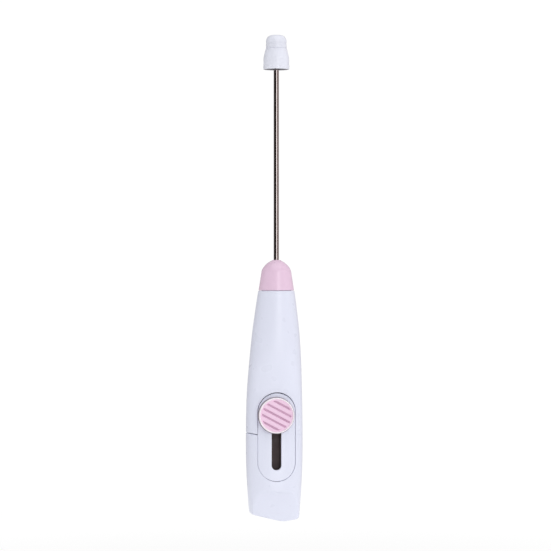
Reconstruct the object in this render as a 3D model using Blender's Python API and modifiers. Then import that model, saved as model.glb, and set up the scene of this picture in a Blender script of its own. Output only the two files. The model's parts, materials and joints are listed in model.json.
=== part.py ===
"""Battery-driven hand frother with a bare bead rod: a flattened handle, a spinning rod and a bell cap.

Metres, +Z up the rod, -Y the front that carries the switch. Every part is placed from the rod's
axis, so a point's y is its distance behind that axis, and one empty moves the whole object back
until the origin is under the middle of its box.
"""

from math import ceil, cos, pi, radians, sin, sqrt

import bmesh
import bpy

MM = 0.001
GAP = 0.3 * MM
AXIS_Y = -4.225 * MM

# Handle. Each list gives (height, value) stations in millimetres for one smooth curve.
HALF_WIDTHS = (
    (0, 11.1), (10, 11.9), (24, 12.65), (38, 12.82), (56, 12.55), (71, 11.8), (85, 10.7), (97, 9.2),
    (104, 8.2))
FRONTS = (
    (0, -2.45), (38, -2.45), (51, -2.5), (58, -3.0), (64, -4.4), (71, -6.3), (80, -7.7), (92, -8.5),
    (104, -8.2))
BACKS = (
    (0, 16.5), (24, 16.9), (38, 16.9), (53, 16.5), (62, 15.8), (71, 14.5), (84, 12.1), (97, 9.5),
    (104, 8.2))
WALL = 1.3 * MM
SEAM_Z = 39.3 * MM
HANDLE_TOP = 104.1 * MM
AROUND = 48
ROUND_AT, OVAL_AT = 92 * MM, 50 * MM
ROUND_POWER, OVAL_POWER = 2.0, 2.5

# Lower end: two slopes that meet in a rounded low point right of the middle, and the finger scoop.
LOW_POINT_X = 3.3 * MM
LEFT_SLOPE, RIGHT_SLOPE = -0.245, 0.17
LOW_POINT_ROUNDING = 1.5 * MM
SCOOP_TOP, SCOOP_DEPTH = 13.7 * MM, 4.4 * MM
SCOOP_ROUNDNESS, SCOOP_FLATNESS = 0.5, 0.8
SCOOP_EDGE, SCOOP_ONSET = 0.25 * MM, 0.8 * MM

# Switch panel, its slot and its knob.
PANEL_LOW, PANEL_HIGH = 18.5 * MM, 58.1 * MM
PANEL_HALF_WIDTH = 8.45 * MM
PANEL_RECESS = 0.25 * MM
SLOT_X, SLOT_HALF_WIDTH = -0.15 * MM, 2.2 * MM
SLOT_LOW, SLOT_HIGH = 23.35 * MM, 50.7 * MM
KNOB_Z = 48.05 * MM
KNOB_RADIUS = 8.05 * MM
KNOB_BACK, KNOB_FRONT = -2.6 * MM, -4.9 * MM
KNOB_RIM = 1.1 * MM
GRIP_SINK = 0.6 * MM
GROOVE_PITCH = 2.68 * MM
GROOVE_WIDTH, GROOVE_DEPTH = 0.85 * MM, 0.5 * MM
GROOVE_TILT = radians(28)
STEM_HALF_WIDTH, STEM_HALF_HEIGHT = 1.55 * MM, 1.6 * MM
STEM_BACK = -0.35 * MM

# Rod, nose and end cap.
ROD_RADIUS = 1.2 * MM
ROD_LOW, ROD_HIGH = 98.0 * MM, 214.6 * MM
NOSE_TOP = 117.6 * MM
NOSE_BASE_RADIUS, DOME_RADIUS = 8.0 * MM, 6.75 * MM
DOME_Z, DOME_RISE = 112.2 * MM, 5.95 * MM
DOME_POWER = 1.65
SPIGOT_RADIUS, SPIGOT_LOW = 6.55 * MM, 99.5 * MM
ROD_HOLE = 1.45 * MM
RUNNING_HOLE = 1.34 * MM
BELL_LOW, BELL_HIGH = 203.8 * MM, 213.1 * MM
BELL_RADIUS, BELL_SHOULDER_RADIUS = 5.9 * MM, 4.8 * MM
BELL_SHOULDER_Z = 209.5 * MM
PLUG_RADIUS, PLUG_TOP = 4.65 * MM, 219.1 * MM

# Drive and cells.
MOTOR_LOW, MOTOR_HIGH = 76.0 * MM, 91.0 * MM
MOTOR_HALF_WIDTH, MOTOR_HALF_DEPTH = 6.0 * MM, 5.0 * MM
MOTOR_WALL = 0.6 * MM
MOTOR_SCREW_X = 4.5 * MM
CELL_RADIUS, CELL_LENGTH, CELL_NUB = 5.2 * MM, 44.5 * MM, 0.9 * MM
CELL_X, CELL_Y, CELL_LOW = 5.3 * MM, 8.1 * MM, 15.0 * MM
BRIDGE_Z = 10.8 * MM
TRAY_WALL_LOW, TRAY_WALL_HIGH = 62.4 * MM, 63.9 * MM
LEAD_RADIUS = 0.55 * MM

SHELL_WHITE = ((0.86, 0.87, 0.93), 0.3, 0.0)
PINK = ((0.86, 0.60, 0.74), 0.35, 0.0)
STEEL = ((0.55, 0.52, 0.50), 0.2, 1.0)
BRASS = ((0.70, 0.52, 0.25), 0.3, 1.0)
DARK_BROWN = ((0.06, 0.045, 0.045), 0.6, 0.0)
BLACK = ((0.03, 0.03, 0.03), 0.5, 0.0)
IVORY = ((0.75, 0.74, 0.70), 0.5, 0.0)
RUBBER = ((0.55, 0.55, 0.57), 0.8, 0.0)
COPPER = ((0.75, 0.38, 0.20), 0.35, 1.0)
CELL_BLUE = ((0.10, 0.22, 0.45), 0.35, 0.2)
RED = ((0.65, 0.05, 0.05), 0.5, 0.0)


# Scene and objects.

def clear_scene():
    for obj in list(bpy.data.objects):
        bpy.data.objects.remove(obj, do_unlink=True)


def new_collection(name, hidden=False):
    made = bpy.data.collections.new(name)
    made.hide_render = hidden
    bpy.context.scene.collection.children.link(made)
    return made


def empty(name, parent=None, location=(0, 0, 0)):
    made = bpy.data.objects.new(name, None)
    made.location = location
    made.parent = parent
    parts.objects.link(made)
    return made


def finish_material(obj, look):
    colour, roughness, metallic = look
    material = bpy.data.materials.new(obj.name)
    material.use_nodes = True
    shader = material.node_tree.nodes["Principled BSDF"]
    shader.inputs["Base Color"].default_value = (*colour, 1)
    shader.inputs["Roughness"].default_value = roughness
    shader.inputs["Metallic"].default_value = metallic
    material.diffuse_color = (*colour, 1)
    obj.data.materials.append(material)


def place(name, data, body, look):
    """A part, in the coordinates of the rod's axis, that moves with the empty `body`."""
    made = bpy.data.objects.new(name, data)
    parts.objects.link(made)
    made.parent = body
    made.matrix_parent_inverse.translation = -body.location if body.parent else (0, 0, 0)
    if data.id_type == "MESH":
        data.shade_smooth()
        data.set_sharp_from_angle(angle=radians(35))
    finish_material(made, look)
    return made


def helper(name, data):
    """A cutter or a joining piece, which isn't part of the object."""
    made = bpy.data.objects.new(name, data)
    made.hide_render = True
    made.display_type = "WIRE"
    made.parent = rod_axis
    cutters.objects.link(made)
    return made


def boolean(target, tool, operation="DIFFERENCE"):
    change = target.modifiers.new(tool.name, "BOOLEAN")
    change.operation = operation
    change.object = tool


def soften(obj, width):
    bevel = obj.modifiers.new("soft_edges", "BEVEL")
    bevel.width = width
    bevel.segments = 1


# Shapes.

def smooth(stations, height):
    """The value at this height of a smooth curve through (height, value) stations in millimetres."""
    spot = min(max(height / MM, stations[0][0]), stations[-1][0])
    last = len(stations) - 1
    i = next(k for k in range(last) if spot <= stations[k + 1][0])

    def slope(k):
        before, after = stations[max(k - 1, 0)], stations[min(k + 1, last)]
        return (after[1] - before[1]) / (after[0] - before[0])

    (low, start), (high, end) = stations[i], stations[i + 1]
    span = high - low
    t = (spot - low) / span
    value = (1 + 2 * t) * (1 - t) ** 2 * start + t * t * (3 - 2 * t) * end
    value += t * (1 - t) ** 2 * span * slope(i) - t * t * (1 - t) * span * slope(i + 1)
    return value * MM


def step(t):
    t = min(max(t, 0.0), 1.0)
    return t * t * (3 - 2 * t)


def power_at(height):
    return ROUND_POWER + (OVAL_POWER - ROUND_POWER) * step((ROUND_AT - height) / (ROUND_AT - OVAL_AT))


def section(height, inset=0.0):
    """Half width, half depth and the middle's y of the handle at this height."""
    front = smooth(FRONTS, height) + inset
    back = smooth(BACKS, height) - inset
    return smooth(HALF_WIDTHS, height) - inset, (back - front) / 2, (back + front) / 2


def rounded(angle, power):
    """A point of the unit superellipse."""
    def part(value):
        return abs(value) ** (2 / power) * (1 if value > 0 else -1)
    return part(cos(angle)), part(sin(angle))


def angles(count=AROUND):
    return [2 * pi * (k + 0.5) / count for k in range(count)]


def handle_ring(height, inset=0.0):
    half_width, half_depth, middle = section(height, inset)
    ring = []
    for angle in angles():
        x, y = rounded(angle, power_at(height))
        ring.append((half_width * x, middle + half_depth * y, height))
    return ring


def circle(radius, height, count=AROUND):
    return [(radius * cos(a), radius * sin(a), height) for a in angles(count)]


def loft(rings, closed=False):
    """A mesh over rings that run up the outside first. `closed` joins the last ring to the first."""
    bm = bmesh.new()
    made = [[bm.verts.new(point) for point in ring] for ring in rings]
    if closed:
        made.append(made[0])
    for lower, upper in zip(made, made[1:]):
        for i in range(len(lower)):
            j = (i + 1) % len(lower)
            bm.faces.new((lower[i], lower[j], upper[j], upper[i]))
    if not closed:
        bm.faces.new(made[0][::-1])
        bm.faces.new(made[-1])
    return to_mesh(bm)


def to_mesh(bm):
    mesh = bpy.data.meshes.new("shape")
    bm.to_mesh(mesh)
    bm.free()
    return mesh


def block(low, high):
    bm = bmesh.new()
    bmesh.ops.create_cube(bm, size=1)
    for vertex in bm.verts:
        vertex.co = [(a + b) / 2 + c * (b - a) for a, b, c in zip(low, high, vertex.co)]
    return to_mesh(bm)


def drum(radius, low, high, centre=(0, 0), segments=24):
    bm = bmesh.new()
    size = {"radius1": radius, "radius2": radius, "depth": high - low}
    bmesh.ops.create_cone(bm, cap_ends=True, segments=segments, **size)
    bmesh.ops.translate(bm, verts=bm.verts, vec=(*centre, (low + high) / 2))
    return to_mesh(bm)


def turned(name, profile, body, look, steps=32, centre=(0, 0)):
    """A part turned round a vertical axis. The profile runs down its outer side and back up the bore."""
    bm = bmesh.new()
    points = [bm.verts.new((radius, 0, height)) for radius, height in profile]
    for a, b in zip(points, points[1:]):
        bm.edges.new((a, b))
    if profile[0][0] > 0:
        bm.edges.new((points[-1], points[0]))
    made = place(name, to_mesh(bm), body, look)
    made.location = (*centre, 0)
    screw = made.modifiers.new("turn", "SCREW")
    screw.steps = steps
    screw.render_steps = steps
    screw.use_merge_vertices = True
    screw.merge_threshold = 0.00001
    return made


def outline_mesh(outline, low, high, upright=False):
    """A flat outline given thickness along z from low to high, or along y if it stands upright."""
    curve = bpy.data.curves.new("outline", "CURVE")
    curve.dimensions = "2D"
    curve.fill_mode = "BOTH"
    curve.extrude = (high - low) / 2
    spline = curve.splines.new("POLY")
    spline.points.add(len(outline) - 1)
    for point, (u, v) in zip(spline.points, outline):
        point.co = (u, v, 0, 1)
    spline.use_cyclic_u = True
    flat = bpy.data.objects.new("outline", curve)
    cutters.objects.link(flat)
    flat.location = (0, (low + high) / 2, 0) if upright else (0, 0, (low + high) / 2)
    flat.rotation_euler = (pi / 2 if upright else 0, 0, 0)
    bpy.context.view_layer.update()
    graph = bpy.context.evaluated_depsgraph_get()
    mesh = bpy.data.meshes.new_from_object(flat.evaluated_get(graph))
    mesh.transform(flat.matrix_world)
    bpy.data.objects.remove(flat, do_unlink=True)
    bm = bmesh.new()
    bm.from_mesh(mesh)
    bmesh.ops.remove_doubles(bm, verts=bm.verts, dist=0.00001)
    bmesh.ops.recalc_face_normals(bm, faces=bm.faces)
    bm.to_mesh(mesh)
    bm.free()
    return mesh


def stadium(half_width, low, high, count=16):
    """An upright outline in x and z with two round ends."""
    points = []
    for middle, start in ((high - half_width, 0), (low + half_width, pi)):
        for k in range(count + 1):
            angle = start + pi * k / count
            points.append((half_width * cos(angle), middle + half_width * sin(angle)))
    return points


def wire(name, points, radius, body, look, sides=2):
    curve = bpy.data.curves.new(name, "CURVE")
    curve.dimensions = "3D"
    curve.bevel_depth = radius
    curve.bevel_resolution = sides
    curve.use_fill_caps = True
    spline = curve.splines.new("POLY")
    spline.points.add(len(points) - 1)
    for spot, point in zip(spline.points, points):
        spot.co = (*point, 1)
    return place(name, curve, body, look)


def eased_route(stops, per_span=3):
    """Points along a smooth curve through the stops."""
    last = len(stops) - 1
    route = []

    def eased(a, b, c, d, t):
        bend, twist = 2 * a - 5 * b + 4 * c - d, 3 * b - a - 3 * c + d
        return 0.5 * (2 * b + (c - a) * t + bend * t ** 2 + twist * t ** 3)

    for i in range(last):
        p0, p1, p2, p3 = (stops[min(max(k, 0), last)] for k in (i - 1, i, i + 1, i + 2))
        for t in (k / per_span for k in range(per_span)):
            route.append([eased(*coordinates, t) for coordinates in zip(p0, p1, p2, p3)])
    return route + [list(stops[-1])]


def coil(centre, low, high, wide, narrow, turns, per_turn=12):
    """Points of a conical spring, `wide` at its low end."""
    count = ceil(turns * per_turn)
    points = []
    for k in range(count + 1):
        t = k / count
        radius = wide + (narrow - wide) * t
        angle = 2 * pi * turns * t
        x, y = centre[0] + radius * cos(angle), centre[1] + radius * sin(angle)
        points.append((x, y, low + (high - low) * t))
    return points


# Shells.

def wave(x):
    """Height of the lower edge, which is 0 at its lowest point."""
    mean, half = (RIGHT_SLOPE + LEFT_SLOPE) / 2, (RIGHT_SLOPE - LEFT_SLOPE) / 2
    across = x - LOW_POINT_X
    lowest = LOW_POINT_ROUNDING * sqrt(half ** 2 - mean ** 2)
    return mean * across + half * sqrt(across ** 2 + LOW_POINT_ROUNDING ** 2) - lowest


def scoop(x, height, inset):
    """How far the finger scoop pushes the front wall back, which fades out where the front curves away."""
    half_width, half_depth, _ = section(height)
    power = power_at(height)
    fallen = half_depth * (1 - (1 - min(abs(x) / half_width, 1) ** power) ** (1 / power))
    under = min(max(SCOOP_TOP + inset - height, 0), SCOOP_TOP)
    depth = SCOOP_DEPTH * (under / SCOOP_TOP) ** SCOOP_ROUNDNESS - SCOOP_FLATNESS * fallen
    return (depth + sqrt(depth ** 2 + SCOOP_EDGE ** 2)) / 2 * step(under / SCOOP_ONSET)


def cap_ring(level, inset=0.0, top=SEAM_Z - GAP / 2):
    """One ring of the lower shell: level 0 follows the wavy edge and level 1 is the flat seam."""
    ring = []
    for angle in angles():
        nominal = level * top
        x = section(nominal, inset)[0] * rounded(angle, OVAL_POWER)[0]
        floor = wave(x) + inset
        height = floor + (top - floor) * level
        half_width, half_depth, middle = section(height, inset)
        x, y = rounded(angle, power_at(height))
        x, y = half_width * x, middle + half_depth * y
        if y < middle:
            y += scoop(x, height, inset)
        ring.append((x, y, height))
    return ring


def base_ring(scale, rise, inset=0.0):
    """A ring of the lower end, drawn in towards its middle and following the wave."""
    middle = section(0)[2]
    ring = []
    for x, y, _ in cap_ring(0, inset):
        x, y = x * scale, middle + (y - middle) * scale
        ring.append((x, y, wave(x) + inset + rise))
    return ring


def window_cutter():
    outline = stadium(PANEL_HALF_WIDTH + GAP, PANEL_LOW - GAP, PANEL_HIGH + GAP)
    return helper("panel_window", outline_mesh(outline, -20 * MM, 2 * MM, upright=True))


def add_upper_body(window):
    levels = (0, 6, 12, 18.6, 24.5, 31.5, 38, 44, 50, 56, 61)
    low = SEAM_Z + GAP / 2
    outer = [handle_ring(low + level * MM) for level in levels]
    shelf = [circle(radius, height) for radius, height in (
        (8.25 * MM, 103.6 * MM), (7.9 * MM, HANDLE_TOP), (SPIGOT_RADIUS + GAP, HANDLE_TOP),
        (SPIGOT_RADIUS + GAP, 101.0 * MM))]
    inner = [handle_ring(low + level * MM, WALL) for level in (60, *reversed(levels[:-1]))]
    body = place("upper_body", loft(outer + shelf + inner, closed=True), handle, SHELL_WHITE)
    boolean(body, window)


def add_battery_cap(window):
    base = [base_ring(0.4, 0), base_ring(0.91, 0), base_ring(0.97, 0.3 * MM)]
    outer_levels = (0.033, 0.09, 0.15, 0.2, 0.25, 0.29, 0.315, 0.335, 0.35, 0.5, 0.75, 1)
    inner_levels = (1, 0.6, 0.39, 0.36, 0.32, 0.26, 0.18, 0.1, 0.03)
    outer = [cap_ring(level) for level in outer_levels]
    inner = [cap_ring(level, WALL) for level in inner_levels]
    floor = [base_ring(0.92, 0, WALL), base_ring(0.4, 0, WALL)]
    cap = place("battery_cap", loft(base + outer + inner + floor), battery_cap_slide, SHELL_WHITE)
    boolean(cap, window)


# Switch.

def front_curve(inset, half_span, count=14):
    """Points of the handle's front at the switch, `inset` behind its surface."""
    half_width, half_depth, middle = section(SEAM_Z, inset)
    power = power_at(SEAM_Z)
    points = []
    for k in range(count + 1):
        x = half_span * (2 * k / count - 1)
        points.append((x, middle - half_depth * (1 - (abs(x) / half_width) ** power) ** (1 / power)))
    return points


def add_switch_panel():
    span = PANEL_HALF_WIDTH + 0.5 * MM
    outline = front_curve(PANEL_RECESS, span) + front_curve(PANEL_RECESS + WALL, span)[::-1]
    blank = outline_mesh(outline, PANEL_LOW - MM, PANEL_HIGH + MM)
    panel = place("switch_panel", blank, handle, SHELL_WHITE)
    oval = outline_mesh(stadium(PANEL_HALF_WIDTH, PANEL_LOW, PANEL_HIGH), -20 * MM, 5 * MM, upright=True)
    slot_edge = [(x + SLOT_X, z) for x, z in stadium(SLOT_HALF_WIDTH, SLOT_LOW, SLOT_HIGH, 8)]
    slot = outline_mesh(slot_edge, -20 * MM, 5 * MM, upright=True)
    boolean(panel, helper("panel_oval", oval), "INTERSECT")
    boolean(panel, helper("switch_slot", slot))


def add_knob():
    """A ribbed disc that faces the front, on a stem that passes through the slot."""
    thick = KNOB_BACK - KNOB_FRONT
    inner = KNOB_RADIUS - KNOB_RIM
    profile = [
        (0, thick - GRIP_SINK), (inner, thick - GRIP_SINK), (inner + 0.2 * MM, thick - 0.12 * MM),
        (inner + 0.55 * MM, thick), (KNOB_RADIUS - 0.2 * MM, thick - 0.35 * MM),
        (KNOB_RADIUS, thick - 0.9 * MM), (KNOB_RADIUS, 0), (0, 0)]
    knob = turned("slide_knob", profile, switch_slide, PINK, steps=40)
    knob.matrix_parent_inverse.identity()
    knob.rotation_euler = (pi / 2, 0, 0)
    knob.location = (SLOT_X, KNOB_BACK, 0)
    stem_low = (SLOT_X - STEM_HALF_WIDTH, KNOB_BACK - 0.5 * MM, KNOB_Z - STEM_HALF_HEIGHT)
    stem_high = (SLOT_X + STEM_HALF_WIDTH, STEM_BACK, KNOB_Z + STEM_HALF_HEIGHT)
    boolean(knob, helper("knob_stem", block(stem_low, stem_high)), "UNION")
    bm = bmesh.new()
    face = KNOB_FRONT + GRIP_SINK
    for k in range(-2, 3):
        offset = k * GROOVE_PITCH
        half_length = sqrt((inner - 0.55 * MM) ** 2 - offset ** 2)
        cube = bmesh.ops.create_cube(bm, size=1)["verts"]
        for vertex in cube:
            along = vertex.co.x * 2 * half_length
            across = offset + vertex.co.z * GROOVE_WIDTH
            vertex.co = (
                SLOT_X + along * cos(GROOVE_TILT) + across * sin(GROOVE_TILT),
                face + vertex.co.y * 2 * GROOVE_DEPTH,
                KNOB_Z - along * sin(GROOVE_TILT) + across * cos(GROOVE_TILT))
    boolean(knob, helper("knob_grooves", to_mesh(bm)))


def add_switch_inside():
    carriage = block((-4.6 * MM, -0.05 * MM, KNOB_Z - 4 * MM), (4.6 * MM, 0.75 * MM, KNOB_Z + 4 * MM))
    soften(place("slider_carriage", carriage, switch_slide, IVORY), 0.2 * MM)
    leaf = [(-3.8, 1.2), (-2.2, 1.2), (-1.4, 1.0), (1.4, 1.0), (2.2, 1.2), (3.8, 1.2)]
    leaf += [(x, y - 0.22) for x, y in reversed(leaf)]
    low = KNOB_Z - 3 * MM
    mesh = outline_mesh([(x * MM, y * MM) for x, y in leaf], low, low + 6 * MM)
    place("contact_bridge", mesh, switch_slide, COPPER)
    for side, name, top in ((-1, "contact_rail_left", 43.0 * MM), (1, "contact_rail_right", 52.5 * MM)):
        inner, outer = sorted((side * 2.3 * MM, side * 3.8 * MM))
        rail = block((inner, 1.45 * MM, 22 * MM), (outer, 1.75 * MM, top))
        place(name, rail, handle, BRASS)
    base = block((-4.9 * MM, 2.05 * MM, 19.5 * MM), (4.9 * MM, 2.7 * MM, 54.5 * MM))
    soften(place("switch_base", base, handle, DARK_BROWN), 0.15 * MM)


# Cells and their contacts.

def add_cells():
    for name, side, nub_up in (("battery_left", -1, True), ("battery_right", 1, False)):
        low, high = CELL_LOW, CELL_LOW + CELL_LENGTH
        radius, nub = CELL_RADIUS, 2.4 * MM
        if nub_up:
            profile = [
                (0, high), (nub, high), (nub, high - CELL_NUB), (radius - 0.3 * MM, high - CELL_NUB),
                (radius, high - 1.4 * MM), (radius, low + 0.3 * MM), (radius - 0.3 * MM, low), (0, low)]
        else:
            profile = [
                (0, high), (radius - 0.3 * MM, high), (radius, high - 0.3 * MM), (radius, low + 1.4 * MM),
                (radius - 0.3 * MM, low + CELL_NUB), (nub, low + CELL_NUB), (nub, low), (0, low)]
        turned(name, profile, handle, CELL_BLUE, 32, (side * CELL_X, CELL_Y))


def add_battery_tray():
    """The wall above the cells, with a spine behind and a rib in front of the groove between them."""
    rings = []
    for height in (TRAY_WALL_LOW, TRAY_WALL_HIGH):
        ring = handle_ring(height, WALL + GAP)
        rings.append([(x, max(y, 3.05 * MM), z) for x, y, z in ring])
    tray = place("battery_tray", loft(rings), handle, IVORY)
    spine = block((-1.4 * MM, 12.1 * MM, CELL_LOW), (1.4 * MM, 13.5 * MM, TRAY_WALL_LOW + 0.5 * MM))
    rib = block((-1.4 * MM, 3.05 * MM, 20 * MM), (1.4 * MM, 4.6 * MM, TRAY_WALL_LOW + 0.5 * MM))
    boolean(tray, helper("tray_spine", spine), "UNION")
    boolean(tray, helper("tray_rib", rib), "UNION")
    for side in (-1, 1):
        hole = drum(1.0 * MM, 60 * MM, 66 * MM, (side * CELL_X, CELL_Y), 16)
        boolean(tray, helper(f"lead_hole_{side}", hole))


def add_contacts():
    top = TRAY_WALL_LOW - GAP
    cell_top = CELL_LOW + CELL_LENGTH
    profile = [(0, top), (3.6 * MM, top), (3.6 * MM, top - 0.3 * MM), (1.8 * MM, top - 0.5 * MM),
               (1.5 * MM, cell_top + GAP), (0, cell_top + GAP)]
    turned("positive_contact", profile, handle, STEEL, 20, (-CELL_X, CELL_Y))
    low, high = cell_top + GAP + 0.25 * MM, top - 0.25 * MM
    points = coil((CELL_X, CELL_Y), low, high, 1.6 * MM, 3.2 * MM, 2.5)
    wire("negative_spring", points, 0.25 * MM, handle, STEEL, sides=1)
    plate = block((-8.0 * MM, 5.6 * MM, BRIDGE_Z), (8.0 * MM, 11.2 * MM, BRIDGE_Z + 0.3 * MM))
    bridge = place("battery_bridge", plate, battery_cap_slide, STEEL)
    boss = drum(1.8 * MM, BRIDGE_Z + 0.1 * MM, CELL_LOW - GAP, (CELL_X, CELL_Y), 16)
    boolean(bridge, helper("bridge_boss", boss), "UNION")
    low, high = BRIDGE_Z + 0.85 * MM, CELL_LOW - GAP - 0.25 * MM
    points = coil((-CELL_X, CELL_Y), low, high, 2.6 * MM, 1.6 * MM, 2.5)
    wire("bridge_spring", points, 0.25 * MM, battery_cap_slide, STEEL, sides=1)


# Motor.

def motor_ring(height, inset=0.0):
    ring = []
    for angle in angles(32):
        x, y = rounded(angle, 4.5)
        ring.append(((MOTOR_HALF_WIDTH - inset) * x, (MOTOR_HALF_DEPTH - inset) * y, height))
    return ring


def screw_holes(name, low, high):
    """Cutters for the two screws that hold the motor up to its mount."""
    return [
        helper(f"{name}_{side}", drum(0.9 * MM, low, high, (side * MOTOR_SCREW_X, 0), 16))
        for side in (-1, 1)
    ]


def add_motor_housing():
    hole = 2.1 * MM
    rings = [motor_ring(MOTOR_LOW), motor_ring(MOTOR_HIGH)]
    rings += [circle(hole, MOTOR_HIGH, 32), circle(hole, MOTOR_HIGH - MOTOR_WALL, 32)]
    rings += [motor_ring(MOTOR_HIGH - MOTOR_WALL, MOTOR_WALL), motor_ring(MOTOR_LOW, MOTOR_WALL)]
    can = place("motor_can", loft(rings, closed=True), handle, STEEL)
    for tool in screw_holes("can_screw_hole", 89 * MM, 92 * MM):
        boolean(can, tool)
    low, high, bore = MOTOR_LOW - 1.7 * MM, MOTOR_LOW - GAP, 0.75 * MM
    rings = [motor_ring(low, 0.1 * MM), motor_ring(high, 0.1 * MM)]
    rings += [circle(bore, high, 32), circle(bore, low, 32)]
    end_cap = place("motor_end_cap", loft(rings, closed=True), handle, IVORY)
    for side in (-1, 1):
        inner, outer = sorted((side * 1.55 * MM, side * 2.6 * MM))
        slot = block((inner, -1.2 * MM, 70 * MM), (outer, 1.2 * MM, 78 * MM))
        boolean(end_cap, helper(f"brush_slot_{side}", slot))
    bush = [
        (1.85 * MM, 92.2 * MM), (1.85 * MM, 89.6 * MM), (0.65 * MM, 89.6 * MM), (0.65 * MM, 92.2 * MM)]
    turned("motor_bearing", bush, handle, BRASS, 24)
    for name, middle in (("magnet_left", pi), ("magnet_right", 0)):
        arc = [middle + radians(45) * (k / 5 - 1) for k in range(11)]
        outline = [(5.1 * MM * cos(a), 5.1 * MM * sin(a)) for a in arc]
        outline += [(3.8 * MM * cos(a), 3.8 * MM * sin(a)) for a in reversed(arc)]
        place(name, outline_mesh(outline, 79.2 * MM, 88.2 * MM), handle, BLACK)
    for name, side in (("brush_left", -1), ("brush_right", 1)):
        inner, outer = sorted((side * 1.85 * MM, side * 2.2 * MM))
        place(name, block((inner, -0.8 * MM, 72.4 * MM), (outer, 0.8 * MM, 78.6 * MM)), handle, BRASS)


def add_motor_mount():
    low, high = MOTOR_HIGH + GAP, MOTOR_HIGH + 2.2 * MM
    hole = 2.2 * MM
    rim = handle_ring(high, WALL + GAP)
    rings = [[(x, y, low) for x, y, _ in rim], rim, circle(hole, high), circle(hole, low)]
    mount = place("motor_mount", loft(rings, closed=True), handle, IVORY)
    for tool in screw_holes("mount_screw_hole", 90 * MM, 95 * MM):
        boolean(mount, tool)
    for name, side in (("motor_screw_left", -1), ("motor_screw_right", 1)):
        head = high + GAP
        profile = [
            (0, head + 0.9 * MM), (0.9 * MM, head + 0.9 * MM), (1.3 * MM, head + 0.5 * MM), (1.3 * MM, head),
            (0.6 * MM, head), (0.6 * MM, 89.6 * MM), (0, 89.6 * MM)]
        turned(name, profile, handle, STEEL, 16, (side * MOTOR_SCREW_X, 0))


def add_drive():
    """Everything that spins: armature, commutator, shaft, coupler and rod."""
    neck, shoe = radians(16), radians(48)
    outline = []
    for pole in range(3):
        middle = 2 * pi * pole / 3 + pi / 2
        turns = [(1.7, -neck), (2.6, -shoe)]
        turns += [(3.4, shoe * (k / 3 - 1)) for k in range(7)]
        turns += [(2.6, shoe), (1.7, neck)]
        outline += [(r * MM * cos(middle + turn), r * MM * sin(middle + turn)) for r, turn in turns]
    core = place("armature", outline_mesh(outline, 79.6 * MM, 87.6 * MM), drive, STEEL)
    boolean(core, helper("armature_bore", drum(0.65 * MM, 75 * MM, 92 * MM, segments=16)))
    ring = [(1.5 * MM, 79.2 * MM), (1.5 * MM, 76.9 * MM), (0.65 * MM, 76.9 * MM), (0.65 * MM, 79.2 * MM)]
    turned("commutator", ring, drive, COPPER, 16)
    place("motor_shaft", drum(0.5 * MM, 74.9 * MM, 97.4 * MM, segments=16), drive, STEEL)
    step_z = 97.7 * MM
    profile = [(2.1 * MM, 103.2 * MM), (2.4 * MM, 102.9 * MM), (2.4 * MM, 93.9 * MM), (0.65 * MM, 93.9 * MM),
               (0.65 * MM, step_z), (RUNNING_HOLE, step_z), (RUNNING_HOLE, 103.2 * MM)]
    turned("shaft_coupler", profile, drive, BRASS, 24)
    rod = drum(ROD_RADIUS, ROD_LOW, ROD_HIGH, segments=24)
    place("drive_rod", rod, drive, STEEL)


# Nose and end cap.

def add_nose():
    profile = [(ROD_HOLE, NOSE_TOP)]
    count = 8
    for k in range(count + 1):
        rise = (NOSE_TOP - DOME_Z) / DOME_RISE * sin(pi / 2 * (1 - k / count))
        radius = DOME_RADIUS * (1 - rise ** DOME_POWER) ** (1 / DOME_POWER)
        profile.append((radius, DOME_Z + DOME_RISE * rise))
    base = HANDLE_TOP + GAP
    profile += [
        (7.4 * MM, 107.8 * MM), (NOSE_BASE_RADIUS, base), (SPIGOT_RADIUS, base),
        (SPIGOT_RADIUS, SPIGOT_LOW), (5.2 * MM, SPIGOT_LOW), (5.2 * MM, 106.5 * MM),
        (2.9 * MM, 108.0 * MM), (2.9 * MM, 115.2 * MM), (ROD_HOLE, 115.2 * MM)]
    turned("nose_cone", profile, handle, PINK, 32)
    bush = [
        (2.6 * MM, 112.4 * MM), (2.6 * MM, 107.6 * MM), (RUNNING_HOLE, 107.6 * MM),
        (RUNNING_HOLE, 112.4 * MM)]
    turned("rod_bush", bush, handle, BRASS, 24)
    seal = [
        (2.6 * MM, 114.9 * MM), (2.6 * MM, 112.7 * MM), (1.6 * MM, 112.7 * MM), (RUNNING_HOLE, 113.6 * MM),
        (RUNNING_HOLE, 114.9 * MM)]
    turned("rod_seal", seal, handle, RUBBER, 24)


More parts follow.
